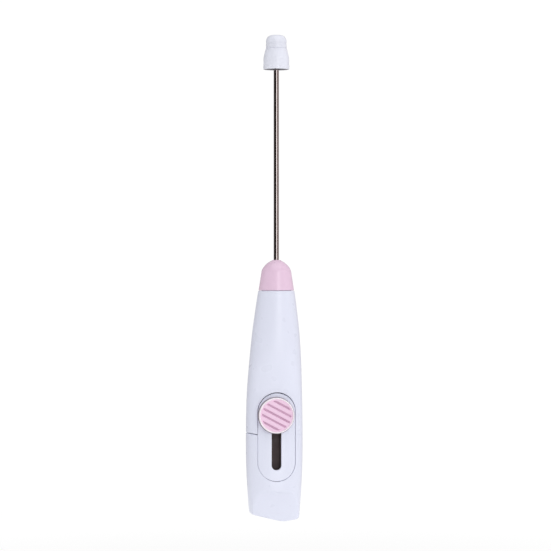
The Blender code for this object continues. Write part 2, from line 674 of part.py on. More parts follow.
def add_end_cap():
    """A bell over the rod's tip, the plug that tops it and the soft sleeve that grips the rod."""
    bell = [
        (3.6 * MM, 216.3 * MM), (3.6 * MM, BELL_HIGH), (BELL_SHOULDER_RADIUS, BELL_HIGH),
        (5.0 * MM, 212.1 * MM), (5.7 * MM, BELL_SHOULDER_Z), (5.78 * MM, 207.5 * MM),
        (5.8 * MM, 205.4 * MM), (BELL_RADIUS, 204.9 * MM), (BELL_RADIUS, BELL_LOW),
        (4.7 * MM, BELL_LOW), (4.6 * MM, 208.4 * MM), (2.9 * MM, 208.4 * MM), (2.9 * MM, 216.3 * MM)]
    turned("end_cap", bell, end_cap_slide, SHELL_WHITE, 32)
    low = BELL_HIGH + GAP
    plug = [
        (0, PLUG_TOP), (2.7 * MM, PLUG_TOP), (3.7 * MM, 218.4 * MM), (4.4 * MM, 217.4 * MM),
        (PLUG_RADIUS, 216.4 * MM), (PLUG_RADIUS, 215.6 * MM), (4.5 * MM, 215.3 * MM),
        (PLUG_RADIUS, 215.0 * MM), (PLUG_RADIUS, low), (3.9 * MM, low), (3.9 * MM, 216.6 * MM),
        (0, 216.6 * MM)]
    turned("cap_plug", plug, end_cap_slide, SHELL_WHITE, 32)
    sleeve = [
        (2.6 * MM, 215.4 * MM), (2.6 * MM, 205.0 * MM), (RUNNING_HOLE, 205.0 * MM),
        (RUNNING_HOLE, 215.4 * MM)]
    turned("cap_sleeve", sleeve, end_cap_slide, RUBBER, 24)


# Leads.

def add_leads():
    """Each lead ends a hair short of the two terminals that it is soldered to."""
    routes = {
        "lead_red": (RED, [
            (-3.05, 1.35, 21.7), (-3.6, 1.2, 20.4), (-5.6, 1.3, 20.8), (-6.6, 1.5, 24), (-6.7, 1.6, 40),
            (-6.4, 1.0, 56), (-5.2, 0, 65), (-2.6, 0, 69.8), (-2.0, 0, 72.0)]),
        "lead_black": (BLACK, [
            (5.3, 8.3, 62.2), (5.3, 8.3, 64.6), (4.6, 5.5, 67.5), (3.0, 1.5, 70.0), (2.0, 0, 72.0)]),
        "lead_blue": (CELL_BLUE, [
            (-5.3, 8.3, 62.45), (-5.3, 8.3, 64.6), (-2.5, 5.0, 67.2), (1.5, 2.2, 66.8), (3.0, 1.2, 63.0),
            (3.1, 1.2, 58.0), (3.05, 1.35, 52.9)]),
    }
    for name, (look, stops) in routes.items():
        route = eased_route([[value * MM for value in stop] for stop in stops])
        wire(name, route, LEAD_RADIUS, handle, look)


clear_scene()
parts = new_collection("milk_frother")
cutters = new_collection("cutters", hidden=True)
rod_axis = empty("rod_axis", location=(0, AXIS_Y, 0))
handle = empty("handle", rod_axis)
switch_slide = empty("switch_slide", rod_axis, (0, 0, KNOB_Z))
drive = empty("drive", rod_axis, (0, 0, ROD_LOW))
end_cap_slide = empty("end_cap_slide", rod_axis, (0, 0, BELL_LOW))
battery_cap_slide = empty("battery_cap_slide", rod_axis, (0, 0, SEAM_Z))

panel_window = window_cutter()
add_upper_body(panel_window)
add_battery_cap(panel_window)
add_switch_panel()
add_knob()
add_switch_inside()
add_cells()
add_battery_tray()
add_contacts()
add_motor_housing()
add_motor_mount()
add_drive()
add_nose()
add_end_cap()
add_leads()
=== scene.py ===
"""Looks of the battery-driven hand frother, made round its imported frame.

The handle's two shells, the switch panel, knob, nose, rod, bell cap and cells are fine meshes that stand
for their CAD nodes. Every other node keeps its own mesh and gets a finished material.

Shapes are worked out in millimetres from the rod's axis, x to the right, y towards the back and z up, and
are moved into the frame when each mesh is made.
"""

import json
from math import cos, pi, radians, sin, tau

import bpy
import numpy as np
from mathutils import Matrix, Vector
from mathutils.geometry import delaunay_2d_cdt


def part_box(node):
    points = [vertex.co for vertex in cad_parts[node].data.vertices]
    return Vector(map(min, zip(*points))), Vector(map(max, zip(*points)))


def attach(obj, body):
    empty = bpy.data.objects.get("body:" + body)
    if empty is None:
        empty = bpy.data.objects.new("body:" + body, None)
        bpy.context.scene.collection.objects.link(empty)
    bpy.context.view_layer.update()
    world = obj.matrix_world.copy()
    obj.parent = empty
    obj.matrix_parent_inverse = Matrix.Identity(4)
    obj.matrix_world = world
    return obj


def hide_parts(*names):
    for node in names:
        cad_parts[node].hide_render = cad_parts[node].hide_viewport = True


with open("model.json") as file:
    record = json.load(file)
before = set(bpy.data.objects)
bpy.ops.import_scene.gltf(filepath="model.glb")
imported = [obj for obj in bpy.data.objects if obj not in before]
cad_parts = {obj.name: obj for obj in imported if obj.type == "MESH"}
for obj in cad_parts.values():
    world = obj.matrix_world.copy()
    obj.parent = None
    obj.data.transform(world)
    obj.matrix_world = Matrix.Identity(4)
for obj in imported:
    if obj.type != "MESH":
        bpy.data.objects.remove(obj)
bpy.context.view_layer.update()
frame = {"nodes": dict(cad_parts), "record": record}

MM = 0.001


def node_box(node):
    """Lowest and highest corner of a CAD node, in millimetres from the rod's axis."""
    low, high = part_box(node)
    return np.array(low) / MM - AXIS, np.array(high) / MM - AXIS


AXIS = np.zeros(3)
AXIS = np.array((0, sum(corner[1] for corner in node_box("drive_rod")) / 2, 0))

# Driving sizes. GAP is the clearance between mouldings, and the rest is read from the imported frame.
GAP = 0.3
WALL = 1.3
SEAM_Z = node_box("upper_body")[0][2] - GAP / 2
HANDLE_TOP = node_box("upper_body")[1][2]
PANEL_LOW, PANEL_HIGH = (corner[2] for corner in node_box("switch_panel"))
PANEL_HALF_WIDTH = node_box("switch_panel")[1][0]
KNOB_RADIUS = (node_box("slide_knob")[1][0] - node_box("slide_knob")[0][0]) / 2
KNOB_FRONT = node_box("slide_knob")[0][1]
KNOB_X, _, KNOB_Z = (sum(pair) / 2 for pair in zip(*node_box("slide_knob")))
SLOT_ASIDE = KNOB_X
ROD_LOW, ROD_HIGH = (corner[2] for corner in node_box("drive_rod"))
NOSE_TOP = node_box("nose_cone")[1][2]
BELL_LOW = node_box("end_cap")[0][2]
PLUG_TOP = node_box("cap_plug")[1][2]
CELL_LOW, CELL_HIGH = (corner[2] for corner in node_box("battery_left"))

# Handle sections: (height, value) stations of smooth curves, as in the CAD. The skin is SKIN_INSET smaller.
# The section is an ellipse from ROUND_AT up and a fuller oval from OVAL_AT down.
HALF_WIDTHS = (
    (0, 11.1), (10, 11.9), (24, 12.65), (38, 12.82), (56, 12.55), (71, 11.8), (85, 10.7), (97, 9.2),
    (104, 8.2))
FRONTS = (
    (0, -2.45), (38, -2.45), (51, -2.5), (58, -3.0), (64, -4.4), (71, -6.3), (80, -7.7), (92, -8.5),
    (104, -8.2))
BACKS = (
    (0, 16.5), (24, 16.9), (38, 16.9), (53, 16.5), (62, 15.8), (71, 14.5), (84, 12.1), (97, 9.5),
    (104, 8.2))
SKIN_INSET = 0.045
ROUND_AT, OVAL_AT = 92, 50
ROUND_POWER, OVAL_POWER = 2.0, 2.5

# Lower end: two slopes that meet at a rounded lowest point, and a finger scoop in front.
LOW_POINT_X = 3.3
LEFT_SLOPE, RIGHT_SLOPE = -0.245, 0.17
LOW_POINT_ROUNDING = 1.5
BASE_FILLET = 1.1
SCOOP_TOP, SCOOP_DEPTH = 13.7, 4.4
SCOOP_ROUNDNESS, SCOOP_FLATNESS = 0.5, 0.8
SCOOP_EDGE, SCOOP_ONSET = 0.25, 0.8
BASE_HALF_SPAN = 12
BASE_RINGS = (0.8, 0.65, 0.5, 0.35, 0.2, 0.08)  # share of the full ring
INNER_BASE_RINGS = ((0.4, 1), (0.1, 0.98), (0, 0.94), (0, 0.7), (0, 0.4), (0, 0.15))  # rise, share

# Seam between the barrel and the battery cover: open on the left and lifted there, tight on the right.
SEAM_HALF_GAP_LEFT, SEAM_HALF_GAP_RIGHT = 0.16, 0.012
UPPER_SEAM_ROUNDING, COVER_SEAM_ROUNDING, SEAM_ROUNDING_RIGHT = 0.2, 0.4, 0.04
SEAM_CLOSES_FROM, SEAM_CLOSES_OVER = -6, 12
SEAM_LIFT, SEAM_LIFT_FROM, SEAM_LIFT_OVER = 0.55, -8, 5
SEAM_REACH = 4

# Barrel's top, with the socket for the nose's spigot.
TOP_ROUNDING = 0.55
LIP_RADIUS = 7.4
SOCKET_CHAMFER, SOCKET_LOW, CAVITY_TOP = 0.25, 101, 99.5

# The switch panel's window in the two shells. Its wall is square to the front for WINDOW_REACH round it.
WINDOW_ROUNDING = 0.2
WINDOW_REACH, WINDOW_WALL = 2.5, 1.2 * WALL

# Gap round the panel: both edges are nudged, by SIDE_REACH from the middle, to close or open it a little.
WINDOW_CLOSED_LEFT, WINDOW_CLOSED_RIGHT = 0.19, 0.08
PANEL_CLOSED_RIGHT, PANEL_CLOSED_BELOW = 0.06, 0.14
PANEL_OPEN_LEFT, PANEL_OPEN_ABOVE = 0.14, 0.1
PANEL_GAP_OPENS, PANEL_GAP_OPENS_OVER = 40, 4
SIDE_REACH, END_REACH, PANEL_REACH = 5, 6, 2

# Switch.
PANEL_RECESS = 0.25
PANEL_ROUNDING = 0.15
PANEL_WALL = 1.1 * WALL
PANEL_MARGIN = 0.15
SLOT_HALF_WIDTH, SLOT_LOW, SLOT_HIGH = 2.2, 23.35, 50.7
SLOT_ROUNDING = 0.15
KNOB_BACK = -2.6
KNOB_ASIDE = -0.25
# The flange carries the dark grey painted shadow round the knob's edge.
KNOB_FLANGE = 0.25
KNOB_RIM, RIM_DEPTH = 0.8, 0.9
GRIP_SINK = 0.6
GRIP_MARGIN = 0.35
GROOVE_PITCH, GROOVE_WIDTH, GROOVE_DEPTH = 2.68, 0.85, 0.55
GROOVE_SOFTNESS, GROOVE_END, GROOVE_SHADED = 0.16, 0.5, 0.6
DISH_TURN = 0.47 * pi
GROOVE_TILT = radians(28)
STEM_HALF_WIDTH, STEM_HALF_HEIGHT, STEM_BACK = 1.55, 1.6, -0.35
STEM_ROUNDING = 0.25

# Rod, nose and bell cap.
ROD_RADIUS = node_box("drive_rod")[1][0]
ROD_HOLE = 1.45
BUSH_POCKET_RADIUS, BUSH_POCKET_LOW, BUSH_POCKET_HIGH = 2.9, 108, 115.2
SPIGOT_RADIUS, SPIGOT_BORE, SPIGOT_LOW, SPIGOT_BORE_HIGH = 6.55, 5.2, 99.5, 106.5
DOME_RADIUS, DOME_Z, DOME_RISE, DOME_POWER = 6.75, 112.2, 5.95, 1.65
NOSE_BASE_RADIUS = node_box("nose_cone")[1][0]
NOSE_GAP, NOSE_LIP = 0.14, 0.28
BELL_HIGH, BELL_RADIUS, BELL_SHOULDER_RADIUS = 213.1, 5.9, 4.8
BELL_RIM_DROP = 0.2
NECK_RADIUS, NECK_HIGH = 3.6, 216.3
SLEEVE_POCKET_RADIUS, SLEEVE_POCKET_LOW = 2.9, 208.4
PLUG_RADIUS, PLUG_INNER_RADIUS, PLUG_INNER_HIGH, PLUG_GAP = 4.65, 3.9, 216.6, 0.03
PLUG_GROOVE_Z, PLUG_GROOVE_HALF_HEIGHT, PLUG_GROOVE_DEPTH = 215.3, 0.55, 0.16
CELL_NUB_RADIUS, CELL_NUB_HEIGHT = 2.4, 0.9

# Fineness of the meshes.
AROUND = 160
TURNED_STEPS, SLIM_STEPS = 128, 96
CORNER_STEPS, CAP_CORNER_STEPS, BASE_CORNER_STEPS, DOME_STEPS = 6, 9, 9, 32
EDGE_STEPS = (0, 0.03, 0.08, 0.15, 0.24, 0.36, 0.55, 0.85)
BARREL_ROW, COVER_ROW, PANEL_ROW = 1.1, 0.7, 0.6
PANEL_COLUMNS, PANEL_EDGE_SPACING = 45, 0.4
DISH_ROWS, DISH_COLUMNS = 151, 49


# Curves and sections.

def step(t):
    """Rises smoothly from 0 to 1."""
    t = np.clip(t, 0, 1)
    return t * t * (3 - 2 * t)


def mix(a, b, share):
    return a + (b - a) * share


def smooth(stations, height):
    """Values at these heights of a smooth curve through the (height, value) stations."""
    at, value = np.array(stations, float).T
    last = len(at) - 1
    before = np.maximum(np.arange(last + 1) - 1, 0)
    after = np.minimum(np.arange(last + 1) + 1, last)
    slope = (value[after] - value[before]) / (at[after] - at[before])
    spot = np.clip(height, at[0], at[-1])
    i = np.clip(np.searchsorted(at, spot) - 1, 0, last - 1)
    span = at[i + 1] - at[i]
    t = (spot - at[i]) / span
    found = (1 + 2 * t) * (1 - t) ** 2 * value[i] + t * t * (3 - 2 * t) * value[i + 1]
    return found + t * (1 - t) ** 2 * span * slope[i] - t * t * (1 - t) * span * slope[i + 1]


def section(height, inset=0.0):
    """Half width, half depth, middle's y and superellipse power of the handle at this height."""
    inset = inset + SKIN_INSET
    front, back = smooth(FRONTS, height) + inset, smooth(BACKS, height) - inset
    power = mix(ROUND_POWER, OVAL_POWER, step((ROUND_AT - height) / (ROUND_AT - OVAL_AT)))
    return smooth(HALF_WIDTHS, height) - inset, (back - front) / 2, (back + front) / 2, power


def outline(angle, height, inset=0.0):
    """x and y of the handle's section at these angles round its middle."""
    half_width, half_depth, middle, power = section(height, inset)
    c, s = np.cos(angle), np.sin(angle)
    reach = ((abs(c) / half_width) ** power + (abs(s) / half_depth) ** power) ** (-1 / power)
    return reach * c, middle + reach * s


def front_angle(x, height):
    """Angle round the section's middle of the front point at this x."""
    half_width, half_depth, _, power = section(height)
    y = -half_depth * (1 - np.minimum(abs(x) / half_width, 1) ** power) ** (1 / power)
    return np.arctan2(y, x)


def wave(x):
    """Height of the lower edge, which is 0 at its lowest point."""
    mean, half = (RIGHT_SLOPE + LEFT_SLOPE) / 2, (RIGHT_SLOPE - LEFT_SLOPE) / 2
    across = x - LOW_POINT_X
    lowest = LOW_POINT_ROUNDING * (half ** 2 - mean ** 2) ** 0.5
    return mean * across + half * np.sqrt(across ** 2 + LOW_POINT_ROUNDING ** 2) - lowest


def scoop(x, height, inset):
    """How far the nearly flat finger scoop pushes the front wall back."""
    half_width, half_depth, _, power = section(height)
    fallen = half_depth * (1 - (1 - np.minimum(abs(x) / half_width, 1) ** power) ** (1 / power))
    under = np.clip(SCOOP_TOP + inset - height, 0, SCOOP_TOP)
    depth = SCOOP_DEPTH * (under / SCOOP_TOP) ** SCOOP_ROUNDNESS - SCOOP_FLATNESS * fallen
    return (depth + np.sqrt(depth ** 2 + SCOOP_EDGE ** 2)) / 2 * step(under / SCOOP_ONSET)


def skin(angle, height, inset=0.0):
    """Points of the handle's surface, or of one that lies `inset` behind it."""
    x, y = outline(angle, height, inset)
    in_front = y < section(height)[2]
    y = y + np.where(in_front, scoop(x, height, inset), 0)
    return np.stack(np.broadcast_arrays(x, y, height), axis=-1)


def rounding(distance, radius):
    """How far a surface has dropped at this distance from its rounded edge."""
    short = np.clip(radius - distance, 0, radius)
    return radius - np.sqrt(radius ** 2 - short ** 2)


def stadium_distance(x, z, half_width, low, high):
    """Distance outside an upright outline with two round ends, negative inside it."""
    middle, half = (low + high) / 2, (high - low) / 2 - half_width
    return np.hypot(x, np.maximum(abs(z - middle) - half, 0)) - half_width


def stadium(half_width, low, high):
    """Points of that outline, counter-clockwise from its right side."""
    turn = int(np.ceil(pi * half_width / PANEL_EDGE_SPACING))
    rise = max(int(np.ceil((high - low - 2 * half_width) / PANEL_EDGE_SPACING)), 1)
    up = np.linspace(low + half_width, high - half_width, rise, endpoint=False)
    half_turn = np.linspace(0, pi, turn, endpoint=False)
    right = np.stack((np.full(rise, half_width), up), axis=-1)
    top_z = high - half_width + half_width * np.sin(half_turn)
    top = np.stack((half_width * np.cos(half_turn), top_z), axis=-1)
    turned_round = np.array((0, low + high)) - np.concatenate((right, top))
    return np.concatenate((right, top, turned_round))


def eased_corners(corners, steps=CORNER_STEPS):
    """A profile of (radius, height, rounding) corners with each corner rounded off by that length."""
    points = []
    count = len(corners)
    for k, (r, z, length) in enumerate(corners):
        corner = np.array((r, z), float)
        if not length:
            points.append(corner)
            continue
        ends = []
        for r_near, z_near, _ in (corners[k - 1], corners[(k + 1) % count]):
            way = np.array((r_near, z_near)) - corner
            ends.append(corner + way * min(length / np.linalg.norm(way), 0.49))
        for t in np.linspace(0, 1, steps):
            points.append((1 - t) ** 2 * ends[0] + 2 * t * (1 - t) * corner + t * t * ends[1])
    return np.array(points)


# Meshes.

class Solid:
    """Points and faces gathered into one mesh."""

    def __init__(self):
        self.points = []
        self.faces = []
        self.looks = []

    def add(self, points):
        """Adds points and returns their numbers."""
        first = len(self.points)
        self.points += [tuple(p) for p in np.reshape(points, (-1, 3))]
        return np.arange(first, len(self.points))

    def face(self, corners, look=0):
        self.faces.append(tuple(int(c) for c in corners))
        self.looks.append(look)

    def strip(self, lower, upper, look=0):
        """Faces between two closed rings, outward if `upper` is above and both run counter-clockwise."""
        for i in range(len(lower)):
            j = (i + 1) % len(lower)
            self.face((lower[i], lower[j], upper[j], upper[i]), look)

    def strips(self, rings, downwards=False):
        """A strip from each ring to the next, with `downwards` for rings that run down the outside."""
        for near, far in zip(rings, rings[1:]):
            self.strip(*(far, near) if downwards else (near, far))

    def plate(self, outer, inner, triangles, left_open=None):
        """Two matching surfaces joined along their border, but for edges with both ends `left_open`."""
        front, back = self.add(outer), self.add(inner)
        for a, b, c in triangles:
            self.face((front[a], front[b], front[c]))
            self.face((back[c], back[b], back[a]))
        for a, b in border(triangles):
            if left_open is None or not (left_open[a] and left_open[b]):
                self.face((front[b], front[a], back[a], back[b]))
        return front, back

    def fan(self, ring, centre):
        tip = self.add([centre])[0]
        for i in range(len(ring)):
            self.face((ring[i], ring[(i + 1) % len(ring)], tip))

    def turned(self, profile, centre=(0, 0), steps=TURNED_STEPS, looks=None):
        """Turns a closed (radius, height) profile, which runs up its outside, round an upright axis."""
        turns = tau * np.arange(steps) / steps
        rings = []
        for radius, height in profile:
            if radius < 1e-6:
                rings.append(self.add([(centre[0], centre[1], height)]))
            else:
                x, y = centre[0] + radius * np.cos(turns), centre[1] + radius * np.sin(turns)
                rings.append(self.add(np.stack((x, y, np.full(steps, height)), axis=-1)))
        looks = looks or [0] * len(rings)
        for k, (lower, upper) in enumerate(zip(rings, rings[1:] + rings[:1])):
            if len(lower) == len(upper) == 1:
                continue
            for i in range(steps):
                j = (i + 1) % steps
                if len(lower) == 1:
                    self.face((lower[0], upper[j], upper[i]), looks[k])
                elif len(upper) == 1:
                    self.face((lower[i], lower[j], upper[0]), looks[k])
                else:
                    self.face((lower[i], lower[j], upper[j], upper[i]), looks[k])

    def made(self, name, body, replaced, slot, materials, sharp=50):
        """The finished object, riding on its body in place of its CAD nodes."""
        mesh = bpy.data.meshes.new(name)
        mesh.from_pydata([tuple((np.array(p) + AXIS) * MM) for p in self.points], [], self.faces)
        mesh.validate()
        mesh.shade_smooth()
        mesh.set_sharp_from_angle(angle=radians(sharp))
        for material in materials:
            mesh.materials.append(material)
        if len(materials) > 1:
            mesh.polygons.foreach_set("material_index", self.looks)
        made = bpy.data.objects.new(name, mesh)
        bpy.context.scene.collection.objects.link(made)
        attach(made, body)
        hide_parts(*replaced)
        return made


def triangulated(points, chains):
    """Triangles of flat points that keep the edges along each chain of point numbers."""
    edges = [(int(a), int(b)) for chain in chains for a, b in zip(chain, chain[1:])]
    flat, _, faces, origins, _, _ = delaunay_2d_cdt([Vector(p) for p in points], edges, [], 0, 1e-6)
    number = {}
    for new, found in enumerate(origins):
        if not found:
            raise ValueError("two chains cross, which would add a point")
        number[new] = found[0]
    faces = np.array([[number[i] for i in face] for face in faces])
    a, b, c = (points[faces[:, k]] for k in range(3))
    area = (b[:, 0] - a[:, 0]) * (c[:, 1] - a[:, 1]) - (b[:, 1] - a[:, 1]) * (c[:, 0] - a[:, 0])
    return faces[area > 1e-7]


def border(faces):
    """Directed edges that only one triangle has."""
    edges = np.concatenate([faces[:, [0, 1]], faces[:, [1, 2]], faces[:, [2, 0]]])
    held = {tuple(edge) for edge in edges.tolist()}
    return [(a, b) for a, b in edges.tolist() if (b, a) not in held]


class Shell:
    """One moulded wall of the handle with the switch panel's window cut out of its front.

    Its surface is worked out on a flat sheet of (angle, share), where share runs from 0 at its lower edge
    to 1 at its upper edge. `seam_side` is 1 for the shell below the seam and -1 for the one above it.
    """

    WINDOW = (PANEL_HALF_WIDTH + GAP, PANEL_LOW - GAP, PANEL_HIGH + GAP)
    MEAN_RADIUS = 11.0  # what a radian of the sheet measures
    ROW_MARGIN, GRID_MARGIN = 0.3, 0.25  # between the fine steps at an edge and the coarse ones past them
    ARC_SPACING = 0.45
    SIDE_STEPS = np.concatenate((EDGE_STEPS, np.arange(1.5, 60, 0.6)))
    BEHIND = 100  # stands for the back's distance from the window

    def __init__(self, low_edge, high_edge, seam_side, row_height):
        self.low_edge, self.high_edge, self.seam_side = low_edge, high_edge, seam_side
        tall = high_edge - SEAM_Z if seam_side < 0 else SEAM_Z
        rows = [k * row_height for k in range(int(tall / row_height) + 1)]
        near = np.array(EDGE_STEPS)
        margin = near[-1] + self.ROW_MARGIN
        rows = [row for row in rows if margin < row < tall - margin]
        self.shares = np.unique(np.concatenate((near, rows, tall - near)) / tall)
        self.tall = tall
        self.sheet()

    def height(self, angle, share):
        low = self.low_edge(angle)
        return low + (self.high_edge - low) * share

    def share(self, angle, height):
        low = self.low_edge(angle)
        return (height - low) / (self.high_edge - low)

    def sheet(self):
        """Lays out and triangulates the sheet, and joins its two sides at the middle of the back."""
        angles = np.linspace(-1.5 * pi, 0.5 * pi, AROUND + 1)
        angle, share = (grid.ravel() for grid in np.meshgrid(angles, self.shares))
        height = self.height(angle, share)
        x, y = outline(angle, height)
        beside = stadium_distance(x, height, *self.WINDOW)
        clear = (beside > EDGE_STEPS[-1] + self.GRID_MARGIN) | (y > section(height)[2])
        points = [np.stack((angle[clear], share[clear]), axis=-1)]
        chains = []
        count = int(clear.sum())
        for offset in EDGE_STEPS:
            chain = self.window_chain(offset)
            chains.append(np.arange(count, count + len(chain)))
            count += len(chain)
            points.append(chain)
        points = np.concatenate(points)
        faces = triangulated(points * (self.MEAN_RADIUS, self.tall), chains)
        middle = points[faces].mean(axis=1)
        height = self.height(*middle.T)
        x, y = outline(middle[:, 0], height)
        inside = (stadium_distance(x, height, *self.WINDOW) < 0) & (y < section(height)[2])
        faces = faces[~inside]
        keys = np.round(np.stack((np.mod(points[:, 0] + 1.5 * pi, tau), points[:, 1]), axis=-1), 8)
        keys[keys[:, 0] > tau - 1e-7, 0] = 0
        _, first, index = np.unique(keys, axis=0, return_index=True, return_inverse=True)
        self.angle, self.part = points[first].T
        self.faces = index.reshape(-1)[faces]

    def window_chain(self, beside):
        """The part of the window's outline, this far outside it, that lies on this side of the seam."""
        half_width, low, high = self.WINDOW
        half_width, low, high = half_width + beside, low - beside, high + beside
        middle = low + half_width if self.seam_side > 0 else high - half_width
        turn = np.linspace(0, pi, int(pi * half_width / self.ARC_SPACING))
        arc_z = middle - self.seam_side * half_width * np.sin(turn)
        arc = np.stack((half_width * np.cos(turn), arc_z), axis=-1)
        straight = self.SIDE_STEPS[self.SIDE_STEPS < abs(SEAM_Z - middle) - self.ROW_MARGIN]
        side = SEAM_Z - self.seam_side * straight
        right = np.stack((np.full(len(side), half_width), side), axis=-1)
        left = np.stack((np.full(len(side), -half_width), side[::-1]), axis=-1)
        x, z = np.concatenate((right, arc, left)).T
        angle = front_angle(x, z)
        share = self.share(angle, z)
        share[[0, -1]] = 1 if self.seam_side > 0 else 0
        return np.stack((angle, share), axis=-1)

    def surfaces(self):
        """The outer points, with their rounded edges, and the inner points behind them."""
        angle, height = self.angle, self.height(self.angle, self.part)
        x, y = outline(angle, height)
        in_front = y < section(height)[2]
        beside = np.maximum(stadium_distance(x, height, *self.WINDOW), 0)
        beside = np.where(in_front, beside, self.BEHIND)
        from_seam = abs(height - SEAM_Z)
        right = step((x - SEAM_CLOSES_FROM) / SEAM_CLOSES_OVER)
        open_rounding = UPPER_SEAM_ROUNDING if self.seam_side < 0 else COVER_SEAM_ROUNDING
        drop = rounding(from_seam, mix(open_rounding, SEAM_ROUNDING_RIGHT, right))
        if self.seam_side < 0:
            drop = drop + rounding(self.high_edge - height, TOP_ROUNDING)
        outer = skin(angle, height, drop)
        inner = skin(angle, height, WALL)
        straight = skin(angle, height)
        straight[:, 1] += WINDOW_WALL
        near_window = 1 - step(beside / WINDOW_REACH)
        inner = mix(inner, straight, near_window[:, None])
        closed = np.where(x < 0, WINDOW_CLOSED_LEFT, -WINDOW_CLOSED_RIGHT) * step(abs(x) / SIDE_REACH)
        outer[:, 1] += rounding(beside, WINDOW_ROUNDING)
        near_seam = 1 - step(from_seam / SEAM_REACH)
        gap = mix(SEAM_HALF_GAP_LEFT, SEAM_HALF_GAP_RIGHT, right)
        lift = SEAM_LIFT * step((SEAM_LIFT_FROM - x) / SEAM_LIFT_OVER)
        for points in (outer, inner):
            points[:, 0] += closed * near_window
            points[:, 2] += near_seam * (lift - self.seam_side * gap)
        return outer, inner

    def solid(self, end):
        """The two surfaces joined round the window and the seam.

        The end where share is `end` stays open, and each surface's ring of points there is returned too.
        """
        solid = Solid()
        at_end = abs(self.part - end) < 1e-9
        front, back = solid.plate(*self.surfaces(), self.faces, left_open=at_end)
        ring = np.flatnonzero(at_end)
        ring = ring[np.argsort(self.angle[ring])]
        self.ring_angles = self.angle[ring]
        return solid, front[ring], back[ring]


def floor_height(angle):
    """Height of the lower edge at these angles round the section."""
    return wave(outline(angle, np.zeros_like(angle))[0])


def circle_ring(solid, angles, radius, height):
    x, y = radius * np.cos(angles), radius * np.sin(angles)
    return solid.add(np.stack((x, y, np.full(len(angles), height)), axis=-1))


def add_upper_barrel(white):
    shell = Shell(lambda angle: np.full_like(angle, SEAM_Z), HANDLE_TOP, -1, BARREL_ROW)
    solid, outer, inner = shell.solid(end=1)
    angles = shell.ring_angles
    socket = SPIGOT_RADIUS + GAP
    top = (
        (LIP_RADIUS, HANDLE_TOP), (socket + SOCKET_CHAMFER, HANDLE_TOP),
        (socket, HANDLE_TOP - SOCKET_CHAMFER), (socket, SOCKET_LOW))
    rings = [circle_ring(solid, angles, radius, height) for radius, height in top]
    shoulder = solid.add(skin(angles, np.full_like(angles, CAVITY_TOP), WALL))
    solid.strips([outer, *rings, shoulder, inner])
    return solid.made("upper_barrel", "handle", ["upper_body"], "shell_white", [white])


def base_ring(solid, angles, rise, scale, inset=0.0):
    """A ring of the lower end, drawn in towards its middle and following the wave."""
    height = floor_height(angles) + inset + rise
    x, y, _ = skin(angles, height, inset).T
    middle = section(0.0)[2]
    x, y = x * scale, middle + (y - middle) * scale
    return solid.add(np.stack((x, y, wave(x) + inset + rise), axis=-1))


def add_battery_cover(white):
    shell = Shell(lambda angle: floor_height(angle) + BASE_FILLET, SEAM_Z, 1, COVER_ROW)
    solid, outer, inner = shell.solid(end=0)
    angles = shell.ring_angles
    middle = section(0.0)[2]
    rings = [outer]
    for turn in np.linspace(0, pi / 2, BASE_CORNER_STEPS)[1:]:
        rise = BASE_FILLET * (1 - sin(turn))
        scale = 1 - BASE_FILLET / BASE_HALF_SPAN * (1 - cos(turn))
        rings.append(base_ring(solid, angles, rise, scale))
    rings += [base_ring(solid, angles, 0, scale) for scale in BASE_RINGS]
    solid.strips(rings, downwards=True)
    solid.fan(rings[-1][::-1], (0, middle, wave(0.0)))
    rings = [inner] + [base_ring(solid, angles, rise, scale, WALL) for rise, scale in INNER_BASE_RINGS]
    solid.strips(rings)
    solid.fan(rings[-1], (0, middle, wave(0.0) + WALL))
    return solid.made("battery_cover", "battery_cover", ["battery_cap"], "shell_white", [white])


# Switch.

def panel_front(x):
    """y of the switch panel, which has the section that the handle has at the seam all the way up."""
    half_width, half_depth, middle, power = section(SEAM_Z, PANEL_RECESS)
    return middle - half_depth * (1 - (abs(x) / half_width) ** power) ** (1 / power)


def slot_distance(x, z):
    return stadium_distance(x - SLOT_ASIDE, z, SLOT_HALF_WIDTH, SLOT_LOW, SLOT_HIGH)


